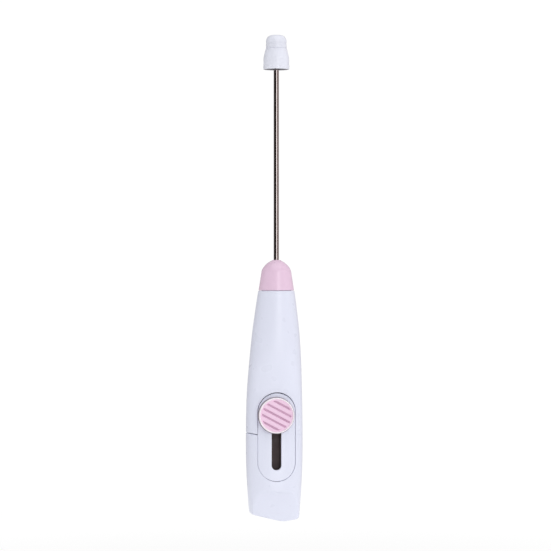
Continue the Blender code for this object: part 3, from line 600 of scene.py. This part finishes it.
def add_switch_panel(white):
    outer = (PANEL_HALF_WIDTH, PANEL_LOW, PANEL_HIGH)
    slot = (SLOT_HALF_WIDTH, SLOT_LOW, SLOT_HIGH)
    across = np.linspace(-PANEL_HALF_WIDTH, PANEL_HALF_WIDTH, PANEL_COLUMNS)
    up = np.arange(PANEL_LOW, PANEL_HIGH, PANEL_ROW)
    x, z = (grid.ravel() for grid in np.meshgrid(across, up))
    keep_off = EDGE_STEPS[-2] + PANEL_MARGIN
    clear = (stadium_distance(x, z, *outer) < -keep_off) & (slot_distance(x, z) > keep_off)
    points, chains = [np.stack((x[clear], z[clear]), axis=-1)], []
    count = int(clear.sum())
    for (half_width, low, high), sign, aside in ((outer, -1, 0), (slot, 1, SLOT_ASIDE)):
        for beside in EDGE_STEPS[:-1]:
            shift = sign * beside
            loop = stadium(half_width + shift, low - shift, high + shift) + (aside, 0)
            chains.append(np.append(np.arange(count, count + len(loop)), count))
            count += len(loop)
            points.append(loop)
    points = np.concatenate(points)
    faces = triangulated(points, chains)
    middle = points[faces].mean(axis=1)
    faces = faces[(stadium_distance(*middle.T, *outer) < 0) & (slot_distance(*middle.T) > 0)]
    x, z = points.T
    edge_distance = -stadium_distance(x, z, *outer)
    drop = rounding(edge_distance, PANEL_ROUNDING)
    drop = drop + rounding(slot_distance(x, z), SLOT_ROUNDING)
    y = panel_front(x)
    near_edge = 1 - step(edge_distance / PANEL_REACH)
    high_up = step((z - PANEL_GAP_OPENS) / PANEL_GAP_OPENS_OVER)
    above = step((z - PANEL_HIGH + PANEL_HALF_WIDTH) / END_REACH)
    below = step((PANEL_LOW + PANEL_HALF_WIDTH - z) / END_REACH)
    nudge = np.where(x < 0, PANEL_OPEN_LEFT * high_up, PANEL_CLOSED_RIGHT)
    x = x + near_edge * nudge * step(abs(x) / SIDE_REACH)
    z = z - near_edge * (PANEL_CLOSED_BELOW * below + PANEL_OPEN_ABOVE * above)
    solid = Solid()
    solid.plate(np.stack((x, y + drop, z), axis=-1), np.stack((x, y + PANEL_WALL, z), axis=-1), faces)
    return solid.made("oval_panel", "handle", ["switch_panel"], "shell_white", [white])


def knob_place(u, w, y):
    """Points of the knob from u along its grooves, w across them and y front to back."""
    x = KNOB_X + KNOB_ASIDE + u * cos(GROOVE_TILT) + w * sin(GROOVE_TILT)
    z = KNOB_Z + w * cos(GROOVE_TILT) - u * sin(GROOVE_TILT)
    return np.stack(np.broadcast_arrays(x, y, z), axis=-1)


def add_knob(pink, rim_highlight_pink, groove_shade_pink, side_shadow_grey):
    """A shallow grooved dish inside a raised round rim, on a stem that passes through the slot.

    Its faces are made inside out, as if it faced the back, and turned over at the end.
    """
    inner = KNOB_RADIUS - KNOB_RIM
    face_y = KNOB_FRONT + GRIP_SINK
    rows = inner * np.sin(np.linspace(-DISH_TURN, DISH_TURN, DISH_ROWS))
    shares = np.sin(np.linspace(-0.5 * pi, 0.5 * pi, DISH_COLUMNS))
    half = np.sqrt(inner ** 2 - rows ** 2)
    u, w = half[:, None] * shares[None, :], np.repeat(rows[:, None], len(shares), axis=1)
    beside = abs(np.mod(w / GROOVE_PITCH + 0.5, 1) - 0.5) * GROOVE_PITCH
    cut = 1 - step((beside - GROOVE_WIDTH / 2 + GROOVE_SOFTNESS) / (2 * GROOVE_SOFTNESS))
    cut = cut * step((inner - GRIP_MARGIN - np.hypot(u, w)) / GROOVE_END)
    solid = Solid()
    grid = solid.add(knob_place(u, w, face_y + GROOVE_DEPTH * cut)).reshape(u.shape)
    for i in range(len(rows) - 1):
        for j in range(len(shares) - 1):
            # Faces down in a groove take a darker pink: painted shade in the groove bottoms.
            in_groove_shade = cut[i:i + 2, j:j + 2].mean() > GROOVE_SHADED
            corners = (grid[i, j], grid[i, j + 1], grid[i + 1, j + 1], grid[i + 1, j])
            solid.face(corners, look=2 if in_groove_shade else 0)
    last = np.concatenate((grid[0, :-1], grid[:-1, -1], grid[-1, :0:-1], grid[:0:-1, 0]))
    turn = np.arctan2(w.ravel()[last], u.ravel()[last])
    wide = KNOB_RADIUS + KNOB_FLANGE
    rim = eased_corners([
        (inner + 0.04, face_y, 0), (inner + 0.1, face_y - GRIP_SINK * 0.7, 0.12),
        (inner + 0.3, KNOB_FRONT, 0.25), (KNOB_RADIUS - 0.25, KNOB_FRONT, 0.3),
        (KNOB_RADIUS, KNOB_FRONT + 0.7, 0.3), (KNOB_RADIUS, KNOB_BACK - 0.6, 0.1),
        (wide, KNOB_BACK - 0.5, 0.05), (wide, KNOB_BACK, 0.05), (KNOB_RADIUS * 0.5, KNOB_BACK, 0)])
    for radius, y in rim:
        ring = solid.add(knob_place(radius * np.cos(turn), radius * np.sin(turn), y))
        # The rim's front faces take a paler, near-white pink: a painted highlight where the rounded rim
        # catches light.
        on_rim_highlight = y < KNOB_FRONT + RIM_DEPTH and radius > inner + 0.05
        # The side and flange below the rim take dark grey: a painted shadow round the knob's edge.
        solid.strip(last, ring, look=1 if on_rim_highlight else 3 if radius > inner + 0.1 else 0)
        last = ring
    solid.fan(last, knob_place(0, 0, KNOB_BACK))
    solid.faces = [face[::-1] for face in solid.faces]
    add_rounded_box(
        solid, (KNOB_X - STEM_HALF_WIDTH, KNOB_BACK - 0.5, KNOB_Z - STEM_HALF_HEIGHT),
        (KNOB_X + STEM_HALF_WIDTH, STEM_BACK, KNOB_Z + STEM_HALF_HEIGHT), STEM_ROUNDING)
    materials = [pink, rim_highlight_pink, groove_shade_pink, side_shadow_grey]
    return solid.made("ribbed_knob", "slider", ["slide_knob"], "knob_pink", materials, sharp=60)


def add_rounded_box(solid, low, high, radius, steps=5):
    """A box with every edge rounded, from rings that run up z."""
    low, high = np.array(low, float), np.array(high, float)
    quarter = np.linspace(0, pi / 2, steps)
    corners = [(high[0], high[1], 0), (low[0], high[1], 1), (low[0], low[1], 2), (high[0], low[1], 3)]
    stops = [(low[2] + radius, -turn) for turn in quarter[::-1]]
    stops += [(high[2] - radius, turn) for turn in quarter]
    rings = []
    for middle, turn in stops:
        pull, z = radius * cos(turn), middle + radius * sin(turn)
        ring = []
        for x, y, k in corners:
            inward = (radius if k in (1, 2) else -radius, radius if k in (2, 3) else -radius)
            for angle in quarter:
                a = angle + k * pi / 2
                ring.append((x + inward[0] + pull * cos(a), y + inward[1] + pull * sin(a), z))
        rings.append(solid.add(ring))
    solid.strips(rings)
    x, y, _ = (low + high) / 2
    solid.fan(rings[-1], (x, y, high[2]))
    solid.fan(rings[0][::-1], (x, y, low[2]))


# Nose, rod and bell cap.

def add_nose(pink):
    base = HANDLE_TOP + NOSE_GAP
    lip = NOSE_TOP + NOSE_LIP
    profile = [*eased_corners([
        (ROD_HOLE, BUSH_POCKET_HIGH, 0), (BUSH_POCKET_RADIUS, BUSH_POCKET_HIGH, 0),
        (BUSH_POCKET_RADIUS, BUSH_POCKET_LOW, 0), (SPIGOT_BORE, SPIGOT_BORE_HIGH, 0),
        (SPIGOT_BORE, SPIGOT_LOW, 0.15), (SPIGOT_RADIUS, SPIGOT_LOW, 0.3), (SPIGOT_RADIUS, base, 0),
        (NOSE_BASE_RADIUS - 0.02, base, 0.22), (7.42, 107.8, 1.5), (DOME_RADIUS, DOME_Z, 0)])]
    reach = (NOSE_TOP - DOME_Z) / DOME_RISE
    for turn in np.linspace(0, pi / 2, DOME_STEPS)[1:]:
        rise = reach * sin(turn)
        radius = DOME_RADIUS * (1 - rise ** DOME_POWER) ** (1 / DOME_POWER)
        profile.append((radius, DOME_Z + DOME_RISE * rise))
    profile += [*eased_corners([
        (2.05, NOSE_TOP - 0.01, 0), (1.95, lip, 0.2), (ROD_HOLE, lip, 0.12), (ROD_HOLE, NOSE_TOP - 1, 0)])]
    solid = Solid()
    solid.turned(profile)
    return solid.made("nose_dome", "handle", ["nose_cone"], "nose_pink", [pink])


def add_rod(steel):
    radius = ROD_RADIUS
    corners = [(0, ROD_LOW, 0), (radius - 0.25, ROD_LOW, 0.06), (radius, ROD_LOW + 0.3, 0.1)]
    corners += [(radius, z, 0) for z in np.linspace(ROD_LOW + 2, ROD_HIGH - 2, 24)]
    corners += [(radius, ROD_HIGH - 0.4, 0.12), (radius - 0.35, ROD_HIGH, 0.06), (0, ROD_HIGH, 0)]
    solid = Solid()
    solid.turned(eased_corners(corners), steps=SLIM_STEPS)
    return solid.made("bead_rod", "drivetrain", ["drive_rod"], "rod_steel", [steel])


def add_bell(white, shaded):
    """The bell with its neck. Its inside has a dark grey material that paints shade into the cavity."""
    rim_radius = BELL_RADIUS - 0.02
    inside = [
        (SLEEVE_POCKET_RADIUS, NECK_HIGH, 0.1), (SLEEVE_POCKET_RADIUS, SLEEVE_POCKET_LOW, 0.1),
        (4.6, SLEEVE_POCKET_LOW, 0.3), (4.7, BELL_LOW, 0.1)]
    outside = [
        (BELL_RADIUS - 0.35, BELL_LOW - 0.18, 0.05), (rim_radius, BELL_LOW - BELL_RIM_DROP, 0.15),
        (rim_radius, 204.95, 0.2), (BELL_RADIUS - 0.13, 205.25, 0.2), (5.78, 208.6, 1.0), (5.6, 209.6, 0.9),
        (5.0, 212.1, 0.5), (BELL_SHOULDER_RADIUS - 0.1, BELL_HIGH, 0.1), (NECK_RADIUS, BELL_HIGH, 0.1),
        (NECK_RADIUS, NECK_HIGH, 0.1)]
    looks = [1] * len(inside) * CAP_CORNER_STEPS + [0] * len(outside) * CAP_CORNER_STEPS
    solid = Solid()
    solid.turned(eased_corners(inside + outside, CAP_CORNER_STEPS), looks=looks)
    return solid.made("bell_cap", "rod_cap", ["end_cap"], "shell_white", [white, shaded])


def add_plug(white):
    """The cap's upper tier: a hollow button with a shallow groove round it."""
    low = BELL_HIGH + PLUG_GAP
    corners = [
        (0, PLUG_INNER_HIGH, 0), (PLUG_INNER_RADIUS, PLUG_INNER_HIGH, 0.1), (PLUG_INNER_RADIUS, low, 0.1),
        (PLUG_RADIUS, low, 0.1), (PLUG_RADIUS, PLUG_GROOVE_Z - PLUG_GROOVE_HALF_HEIGHT, 0.2),
        (PLUG_RADIUS - PLUG_GROOVE_DEPTH, PLUG_GROOVE_Z, 0.25),
        (PLUG_RADIUS, PLUG_GROOVE_Z + PLUG_GROOVE_HALF_HEIGHT, 0.2), (PLUG_RADIUS, 216.7, 0.6),
        (4.4, 217.5, 0.7), (3.55, 218.65, 0.8), (2.2, PLUG_TOP, 0.6), (0, PLUG_TOP, 0)]
    solid = Solid()
    solid.turned(eased_corners(corners, CAP_CORNER_STEPS))
    return solid.made("cap_button", "rod_cap", ["cap_plug"], "shell_white", [white])


# Cells.

def add_cell(name, wrap, band, nickel, insulator):
    """A cell in its printed film, with the film shrunk over both shoulders and bare metal at both ends.

    Each corner of its outline is (radius, height, rounding, look), from the flat end to the nub.
    """
    low, high = node_box(name)
    nub_up = name == "battery_left"
    centre = ((low[0] + high[0]) / 2, (low[1] + high[1]) / 2)
    radius, length = (high[0] - low[0]) / 2 - 0.01, high[2] - low[2]
    shoulder = length - CELL_NUB_HEIGHT
    corners = [
        (0, 0.25, 0, 2), (3.6, 0.25, 0.1, 2), (4.0, 0.02, 0.15, 2), (4.45, 0.2, 0.1, 0),
        (4.6, 0.0, 0.15, 0), (radius, 0.05, 0.5, 0), (radius, length * 0.72, 0, 1),
        (radius, shoulder - 0.15, 0.5, 1), (4.55, shoulder, 0.15, 1), (4.3, shoulder - 0.25, 0.1, 3),
        (CELL_NUB_RADIUS + 0.3, shoulder - 0.3, 0.1, 2), (CELL_NUB_RADIUS, shoulder, 0.2, 2),
        (CELL_NUB_RADIUS - 0.15, length, 0.3, 2), (0, length, 0, 2)]
    profile = eased_corners([c[:3] for c in corners])
    looks = []
    for *_, rounding_length, look in corners:
        looks += [look] * (CORNER_STEPS if rounding_length else 1)
    if nub_up:
        profile = [(r, CELL_LOW + z) for r, z in profile]
    else:
        profile = [(r, CELL_HIGH - z) for r, z in profile][::-1]
        looks = looks[::-1][1:] + looks[-1:]
    solid = Solid()
    solid.turned(profile, centre, steps=SLIM_STEPS, looks=looks)
    return solid.made(f"{name}_cell", "handle", [name], "cell_wrap", [wrap, band, nickel, insulator])


# Materials.

RAMP_ENDS = (0.2, 0.8)
PATCH_ENDS = (0.4, 0.7)
RELIEF = 0.0002
WHITE = (1, 1, 1, 1)


class Nodes:
    """The nodes of a material or world, each made and linked in one call."""

    def __init__(self, owner):
        owner.use_nodes = True
        self.nodes, self.link = owner.node_tree.nodes, owner.node_tree.links.new

    def fill(self, node, inputs):
        """Sets each named input to a value or links it to another node's output."""
        for name, value in inputs.items():
            if isinstance(value, bpy.types.NodeSocket):
                self.link(value, node.inputs[name])
            else:
                node.inputs[name].default_value = value

    def add(self, kind, inputs, output=0, **settings):
        """A new node's output."""
        made = self.nodes.new("ShaderNode" + kind)
        for name, value in settings.items():
            setattr(made, name, value)
        self.fill(made, inputs)
        return made.outputs[output]

    def mixed(self, share, first, second):
        return self.add("MixShader", {0: share, 1: first, 2: second})

    def ramp(self, share, stops):
        """A colour from a ramp of (position, colour) stops."""
        colour = self.add("ValToRGB", {"Fac": share}, "Color")
        elements = colour.node.color_ramp.elements
        while len(elements) < len(stops):
            elements.new(0.5)
        for element, (position, value) in zip(elements, stops):
            element.position = position
            element.color = (*value, 1)
        return colour


def grey(value):
    return (value,) * 3


def shade(name, colours, roughness, metallic=0.0, cloud=40, grain=900, bump=0.02, stretch=(1, 1, 1),
          wear=None, **uniform):
    """A moulded, turned or drawn material: cloudy colour, uneven gloss, a fine grain and worn edges.

    `colours` and `roughness` are the lowest and highest value. `cloud` and `grain` are in waves a metre.
    `wear` is the worn edges' colour, their roughness and the span of pointiness over which they show.
    """
    material = bpy.data.materials.new(name)
    tree = Nodes(material)
    shader = tree.nodes["Principled BSDF"]
    place = tree.add("TexCoord", {}, "Object")
    place = tree.add("Mapping", {"Vector": place, "Scale": stretch}, "Vector")

    def noise(scale, detail):
        return tree.add("TexNoise", {"Scale": scale, "Detail": detail, "Vector": place}, "Fac")

    def ramp(share, low, high, ends=RAMP_ENDS):
        return tree.ramp(share, tuple(zip(ends, (low, high))))

    colour = ramp(noise(cloud, 1), *colours)
    rough = ramp(noise(cloud * 3, 1), *map(grey, roughness))
    if wear:
        worn_colour, worn_roughness, edge = wear
        worn = ramp(tree.add("NewGeometry", {}, "Pointiness"), grey(0), grey(1), edge)
        patches = ramp(noise(cloud * 12, 4), grey(0), grey(1), PATCH_ENDS)
        worn = tree.add("Math", {0: worn, 1: patches}, operation="MULTIPLY")
        colour, rough = (
            tree.add("Mix", {"Factor": worn, "A": sound, "B": (*touched, 1)}, "Result", data_type="RGBA")
            for sound, touched in ((colour, worn_colour), (rough, grey(worn_roughness))))
    relief = tree.add("Bump", {"Strength": bump, "Distance": RELIEF, "Height": noise(grain, 2)}, "Normal")
    tree.fill(shader, {"Base Color": colour, "Roughness": rough, "Metallic": metallic, "Normal": relief})
    tree.fill(shader, {socket.replace("_", " "): value for socket, value in uniform.items()})
    return material


def slot_materials():
    """Every slot's material, by the record's name for it."""
    return {
        "shell_white": shade(
            "white_moulding", ((0.766, 0.786, 0.911), (0.770, 0.790, 0.915)), (0.27, 0.29), cloud=60,
            grain=1400, bump=0.04, IOR=1.5),
        "nose_pink": shade(
            "pink_moulding", ((0.80, 0.583, 0.743), (0.81, 0.592, 0.752)), (0.21, 0.25), cloud=60,
            grain=1500, bump=0.04, IOR=1.5),
        "knob_pink": shade(
            "pink_grip", ((0.85, 0.595, 0.77), (0.86, 0.605, 0.78)), (0.38, 0.46), cloud=80, grain=2200,
            bump=0.12, IOR=1.5),
        "rod_steel": shade(
            "drawn_steel", ((0.53, 0.49, 0.485), (0.58, 0.54, 0.535)), (0.05, 0.11), 1.0, cloud=60,
            grain=4000, bump=0.03, stretch=(1, 1, 0.03)),
        "switch_dark": shade(
            "dark_moulding", ((0.037, 0.020, 0.024), (0.048, 0.026, 0.030)), (0.45, 0.62), cloud=120,
            grain=2500, bump=0.2, IOR=1.5),
        "inner_ivory": shade(
            "natural_moulding", ((0.70, 0.69, 0.64), (0.76, 0.75, 0.70)), (0.42, 0.58), cloud=80,
            grain=1800, bump=0.15, IOR=1.5),
        "motor_steel": shade(
            "plated_steel", ((0.52, 0.52, 0.53), (0.60, 0.60, 0.60)), (0.24, 0.4), 1.0, cloud=150,
            grain=2600, bump=0.12, wear=((0.70, 0.70, 0.70), 0.2, (0.52, 0.58))),
        "magnet": shade(
            "ferrite", ((0.03, 0.03, 0.032), (0.055, 0.053, 0.052)), (0.6, 0.8), cloud=300, grain=5000,
            bump=0.4),
        "brass": shade(
            "turned_brass", ((0.66, 0.47, 0.20), (0.74, 0.56, 0.28)), (0.22, 0.38), 1.0, cloud=200,
            grain=3000, bump=0.15, stretch=(1, 1, 4)),
        "copper": shade(
            "bare_copper", ((0.66, 0.31, 0.16), (0.78, 0.42, 0.25)), (0.25, 0.42), 1.0, cloud=220,
            grain=3000, bump=0.12),
        "contact_nickel": shade(
            "nickel_plate", ((0.62, 0.60, 0.56), (0.70, 0.68, 0.64)), (0.14, 0.26), 1.0, cloud=200,
            grain=2800, bump=0.06),
        "cell_wrap": shade(
            "cell_film", ((0.03, 0.07, 0.20), (0.04, 0.09, 0.24)), (0.2, 0.32), cloud=70, grain=1200,
            bump=0.06, Coat_Weight=0.4, Coat_Roughness=0.12),
        "silicone": shade(
            "grey_silicone", ((0.52, 0.52, 0.54), (0.60, 0.60, 0.62)), (0.55, 0.7), cloud=180,
            grain=2400, bump=0.15, IOR=1.41),
        "lead_red": shade(
            "red_insulation", ((0.55, 0.03, 0.03), (0.65, 0.05, 0.04)), (0.35, 0.5), cloud=160,
            grain=2400, bump=0.1),
        "lead_black": shade(
            "black_insulation", ((0.015, 0.015, 0.016), (0.03, 0.03, 0.03)), (0.35, 0.5), cloud=160,
            grain=2400, bump=0.1),
        "lead_blue": shade(
            "blue_insulation", ((0.05, 0.13, 0.38), (0.07, 0.17, 0.45)), (0.35, 0.5), cloud=160,
            grain=2400, bump=0.1),
    }


def repaint_frame(by_slot):
    """Gives every CAD node that still shows its slot's finished material."""
    for row in frame["record"]["subparts"]:
        node = frame["nodes"][row["node"]]
        if not node.hide_render:
            node.data.materials.clear()
            node.data.materials.append(by_slot[row["material_slot"]])


# Studio, in metres. Azimuth 0 is in front of the handle and 90 degrees to its right.

CAMERA_AZIMUTH = radians(-7.5)
CAMERA_DISTANCE, CAMERA_HEIGHT, CAMERA_ASIDE = 1.15, 0.1109, 0.00036
FRAME_HEIGHT = 0.248
SENSOR = 36

# What a glossy surface sees all round, by azimuth in degrees.
ROOM_SIDES = (
    (-180, (0.50, 0.49, 0.50)), (-140, (0.35, 0.33, 0.33)), (-100, (0.02, 0.014, 0.013)),
    (-20, (0.03, 0.022, 0.02)), (-8, (0.30, 0.26, 0.25)), (22, (0.30, 0.25, 0.24)),
    (34, (0.24, 0.18, 0.17)), (80, (0.38, 0.31, 0.30)), (120, (0.55, 0.50, 0.50)),
    (180, (0.45, 0.44, 0.45)))
ROOM_LIGHT, BACKDROP = 0.47, 1.02

# Name, azimuth, elevation, distance, size, power, and whether gloss mirrors it.
SOFTBOXES = (
    ("strip", 9, 4, 1.3, (0.42, 1.2), 3.7, True),
    ("key", 28, 20, 1.4, (0.8, 0.9), 2.5, False),
    ("side", 75, 20, 1.4, (0.8, 0.9), 2.7, False),
    ("fill", -40, 15, 1.6, (1.0, 1.0), 0.75, False),
    ("left", -95, 10, 1.6, (1.0, 1.0), 3.8, False),
    ("top", 0, 80, 1.5, (1.4, 1.4), 6.5, True),
)
LAMP_TARGET = (0, 0, 0.09)

FLOOR_Z = -0.032
FLOOR_RINGS, FLOOR_STEPS = (0.1, 0.2, 0.3, 0.45), 64
FLOOR_COLOUR = (0.93, 0.93, 0.93, 1)
FLOOR_GLOW = 0.75
FLOOR_FADES_FROM, FLOOR_FADES_TO = 0.04, 0.40


def aim(thing, spot, target):
    thing.location = spot
    thing.rotation_euler = (Vector(target) - Vector(spot)).to_track_quat("-Z", "Y").to_euler()


def add_camera():
    camera = bpy.data.cameras.new("camera")
    camera.sensor_width = SENSOR
    camera.lens = SENSOR * CAMERA_DISTANCE / FRAME_HEIGHT
    camera.clip_start, camera.clip_end = 0.01, 100
    view = bpy.data.objects.new("camera", camera)
    bpy.context.scene.collection.objects.link(view)
    right = Vector((cos(CAMERA_AZIMUTH), sin(CAMERA_AZIMUTH), 0))
    back = Vector((sin(CAMERA_AZIMUTH), -cos(CAMERA_AZIMUTH), 0))
    target = Vector((0, AXIS[1] * MM, CAMERA_HEIGHT)) - right * CAMERA_ASIDE
    aim(view, target + back * CAMERA_DISTANCE, target)
    bpy.context.scene.camera = view


def add_softbox(name, azimuth, elevation, distance, size, power, mirrored):
    """A rectangular lamp that faces the handle."""
    light = bpy.data.lights.new(name, "AREA")
    light.shape = "RECTANGLE"
    light.size, light.size_y = size
    light.energy = power
    lamp = bpy.data.objects.new(name, light)
    bpy.context.scene.collection.objects.link(lamp)
    a, e = radians(azimuth), radians(elevation)
    target = Vector(LAMP_TARGET)
    way = Vector((sin(a) * cos(e), -cos(a) * cos(e), sin(e)))
    aim(lamp, target + way * distance, target)
    lamp.visible_camera = False
    lamp.visible_glossy = mirrored


def add_floor():
    """A wide pale disc, low enough for the battery cover to slide off, that fades into the surroundings.

    It is clear from below, so that the underside of the handle can be seen.
    """
    points = [(0, 0, 0)]
    turns = [tau * k / FLOOR_STEPS for k in range(FLOOR_STEPS)]
    for radius in FLOOR_RINGS:
        points += [(radius * cos(turn), radius * sin(turn), 0) for turn in turns]
    ahead = [(k, (k + 1) % FLOOR_STEPS) for k in range(FLOOR_STEPS)]
    faces = [(0, 1 + k, 1 + after) for k, after in ahead]
    for ring in range(len(FLOOR_RINGS) - 1):
        a = 1 + ring * FLOOR_STEPS
        b = a + FLOOR_STEPS
        faces += [(a + k, b + k, b + after, a + after) for k, after in ahead]
    mesh = bpy.data.meshes.new("floor")
    mesh.from_pydata(points, [], faces)
    floor = bpy.data.objects.new("floor", mesh)
    floor.location = (0, 0, FLOOR_Z)
    bpy.context.scene.collection.objects.link(floor)
    material = bpy.data.materials.new("pale_floor")
    tree = Nodes(material)
    shader = tree.nodes["Principled BSDF"]
    tree.fill(shader, {"Base Color": FLOOR_COLOUR, "Roughness": 0.8, "Specular IOR Level": 0.1})
    distance = tree.add("VectorMath", {0: tree.add("TexCoord", {}, "Object")}, "Value", operation="LENGTH")
    fade = tree.add("MapRange", {
        "Value": distance, "From Min": FLOOR_FADES_FROM, "From Max": FLOOR_FADES_TO, "To Min": FLOOR_GLOW,
    }, "Result", interpolation_type="SMOOTHSTEP")
    above = tree.mixed(fade, shader.outputs["BSDF"], tree.add("Emission", {"Strength": BACKDROP}))
    below = tree.add("BsdfTransparent", {})
    both = tree.mixed(tree.add("NewGeometry", {}, "Backfacing"), above, below)
    tree.fill(tree.nodes["Material Output"], {"Surface": both})
    floor.data.materials.append(material)


def add_surroundings():
    """A white room. It lights matt surfaces evenly and shows glossy ones a dark side on the left."""
    world = bpy.data.worlds.new("studio")
    bpy.context.scene.world = world
    tree = Nodes(world)

    def room(colour, strength):
        return tree.add("Background", {"Color": colour, "Strength": strength})

    way = tree.add("TexCoord", {}, "Generated")
    aside, along = (tree.add("SeparateXYZ", {"Vector": way}, axis) for axis in "XY")
    ahead = tree.add("Math", {0: along, 1: -1}, operation="MULTIPLY")
    turn = tree.add("Math", {0: aside, 1: ahead}, operation="ARCTAN2")
    share = tree.add("MapRange", {"Value": turn, "From Min": -pi, "From Max": pi}, "Result")
    sides = tree.ramp(share, [((azimuth + 180) / 360, colour) for azimuth, colour in ROOM_SIDES])
    glossy, camera = (tree.add("LightPath", {}, f"Is {ray} Ray") for ray in ("Glossy", "Camera"))
    lit = tree.mixed(glossy, room(WHITE, ROOM_LIGHT), room(sides, 1))
    tree.fill(tree.nodes["World Output"], {"Surface": tree.mixed(camera, lit, room(WHITE, BACKDROP))})


def add_studio():
    """The camera, the floor, the room and its lamps."""
    add_camera()
    add_floor()
    add_surroundings()
    for lamp in SOFTBOXES:
        add_softbox(*lamp)
    bpy.context.scene.view_settings.view_transform = "Standard"


by_slot = slot_materials()
# A lighter copy of the white moulding, with some subsurface: its extra lightness is painted light on the
# bell and button.
cap_moulding_painted_light = shade(
    "cap_moulding_painted_light", ((0.816, 0.832, 0.941), (0.822, 0.838, 0.946)), (0.27, 0.29), cloud=60, grain=1400,
    bump=0.04, IOR=1.5, Subsurface_Weight=0.15, Subsurface_Scale=0.004, Subsurface_Radius=(1, 1, 1))
# Dark grey for the bell's inside: painted shade in its cavity.
cap_inside_painted_shade = shade(
    "cap_inside_painted_shade", ((0.26, 0.25, 0.28), (0.32, 0.31, 0.34)), (0.6, 0.75), cloud=150, grain=2400, bump=0.2)
knob_groove_painted_shade, knob_side_painted_shadow, knob_rim_painted_highlight = (
    shade(name, colours, roughness, cloud=60, grain=2200, bump=bump, IOR=1.5)
    for name, colours, roughness, bump in (
        # Darker pink for the knob's groove bottoms: painted shade.
        ("knob_groove_painted_shade", ((0.60, 0.37, 0.52), (0.66, 0.42, 0.57)), (0.45, 0.6), 0.1),
        # Dark grey for the knob's side and flange: a painted shadow under its edge.
        ("knob_side_painted_shadow", ((0.22, 0.19, 0.23), (0.26, 0.23, 0.27)), (0.5, 0.65), 0.1),
        # Near-white pink for the knob's rim: a painted highlight.
        ("knob_rim_painted_highlight", ((0.92, 0.84, 0.90), (0.94, 0.87, 0.92)), (0.18, 0.26), 0.04)))
cell_band = shade(
    "cell_band", ((0.50, 0.36, 0.16), (0.56, 0.42, 0.20)), (0.22, 0.34), 0.8, cloud=70, grain=1200,
    bump=0.06)
cell_washer = shade(
    "cell_washer", ((0.05, 0.05, 0.05), (0.08, 0.08, 0.08)), (0.5, 0.7), cloud=200, grain=3000)

add_upper_barrel(by_slot["shell_white"])
add_battery_cover(by_slot["shell_white"])
add_switch_panel(by_slot["shell_white"])
add_knob(by_slot["knob_pink"], knob_rim_painted_highlight, knob_groove_painted_shade, knob_side_painted_shadow)
add_nose(by_slot["nose_pink"])
add_rod(by_slot["rod_steel"])
add_bell(cap_moulding_painted_light, cap_inside_painted_shade)
add_plug(cap_moulding_painted_light)
for cell in ("battery_left", "battery_right"):
    add_cell(cell, by_slot["cell_wrap"], cell_band, by_slot["contact_nickel"], cell_washer)
repaint_frame(by_slot)
add_studio()
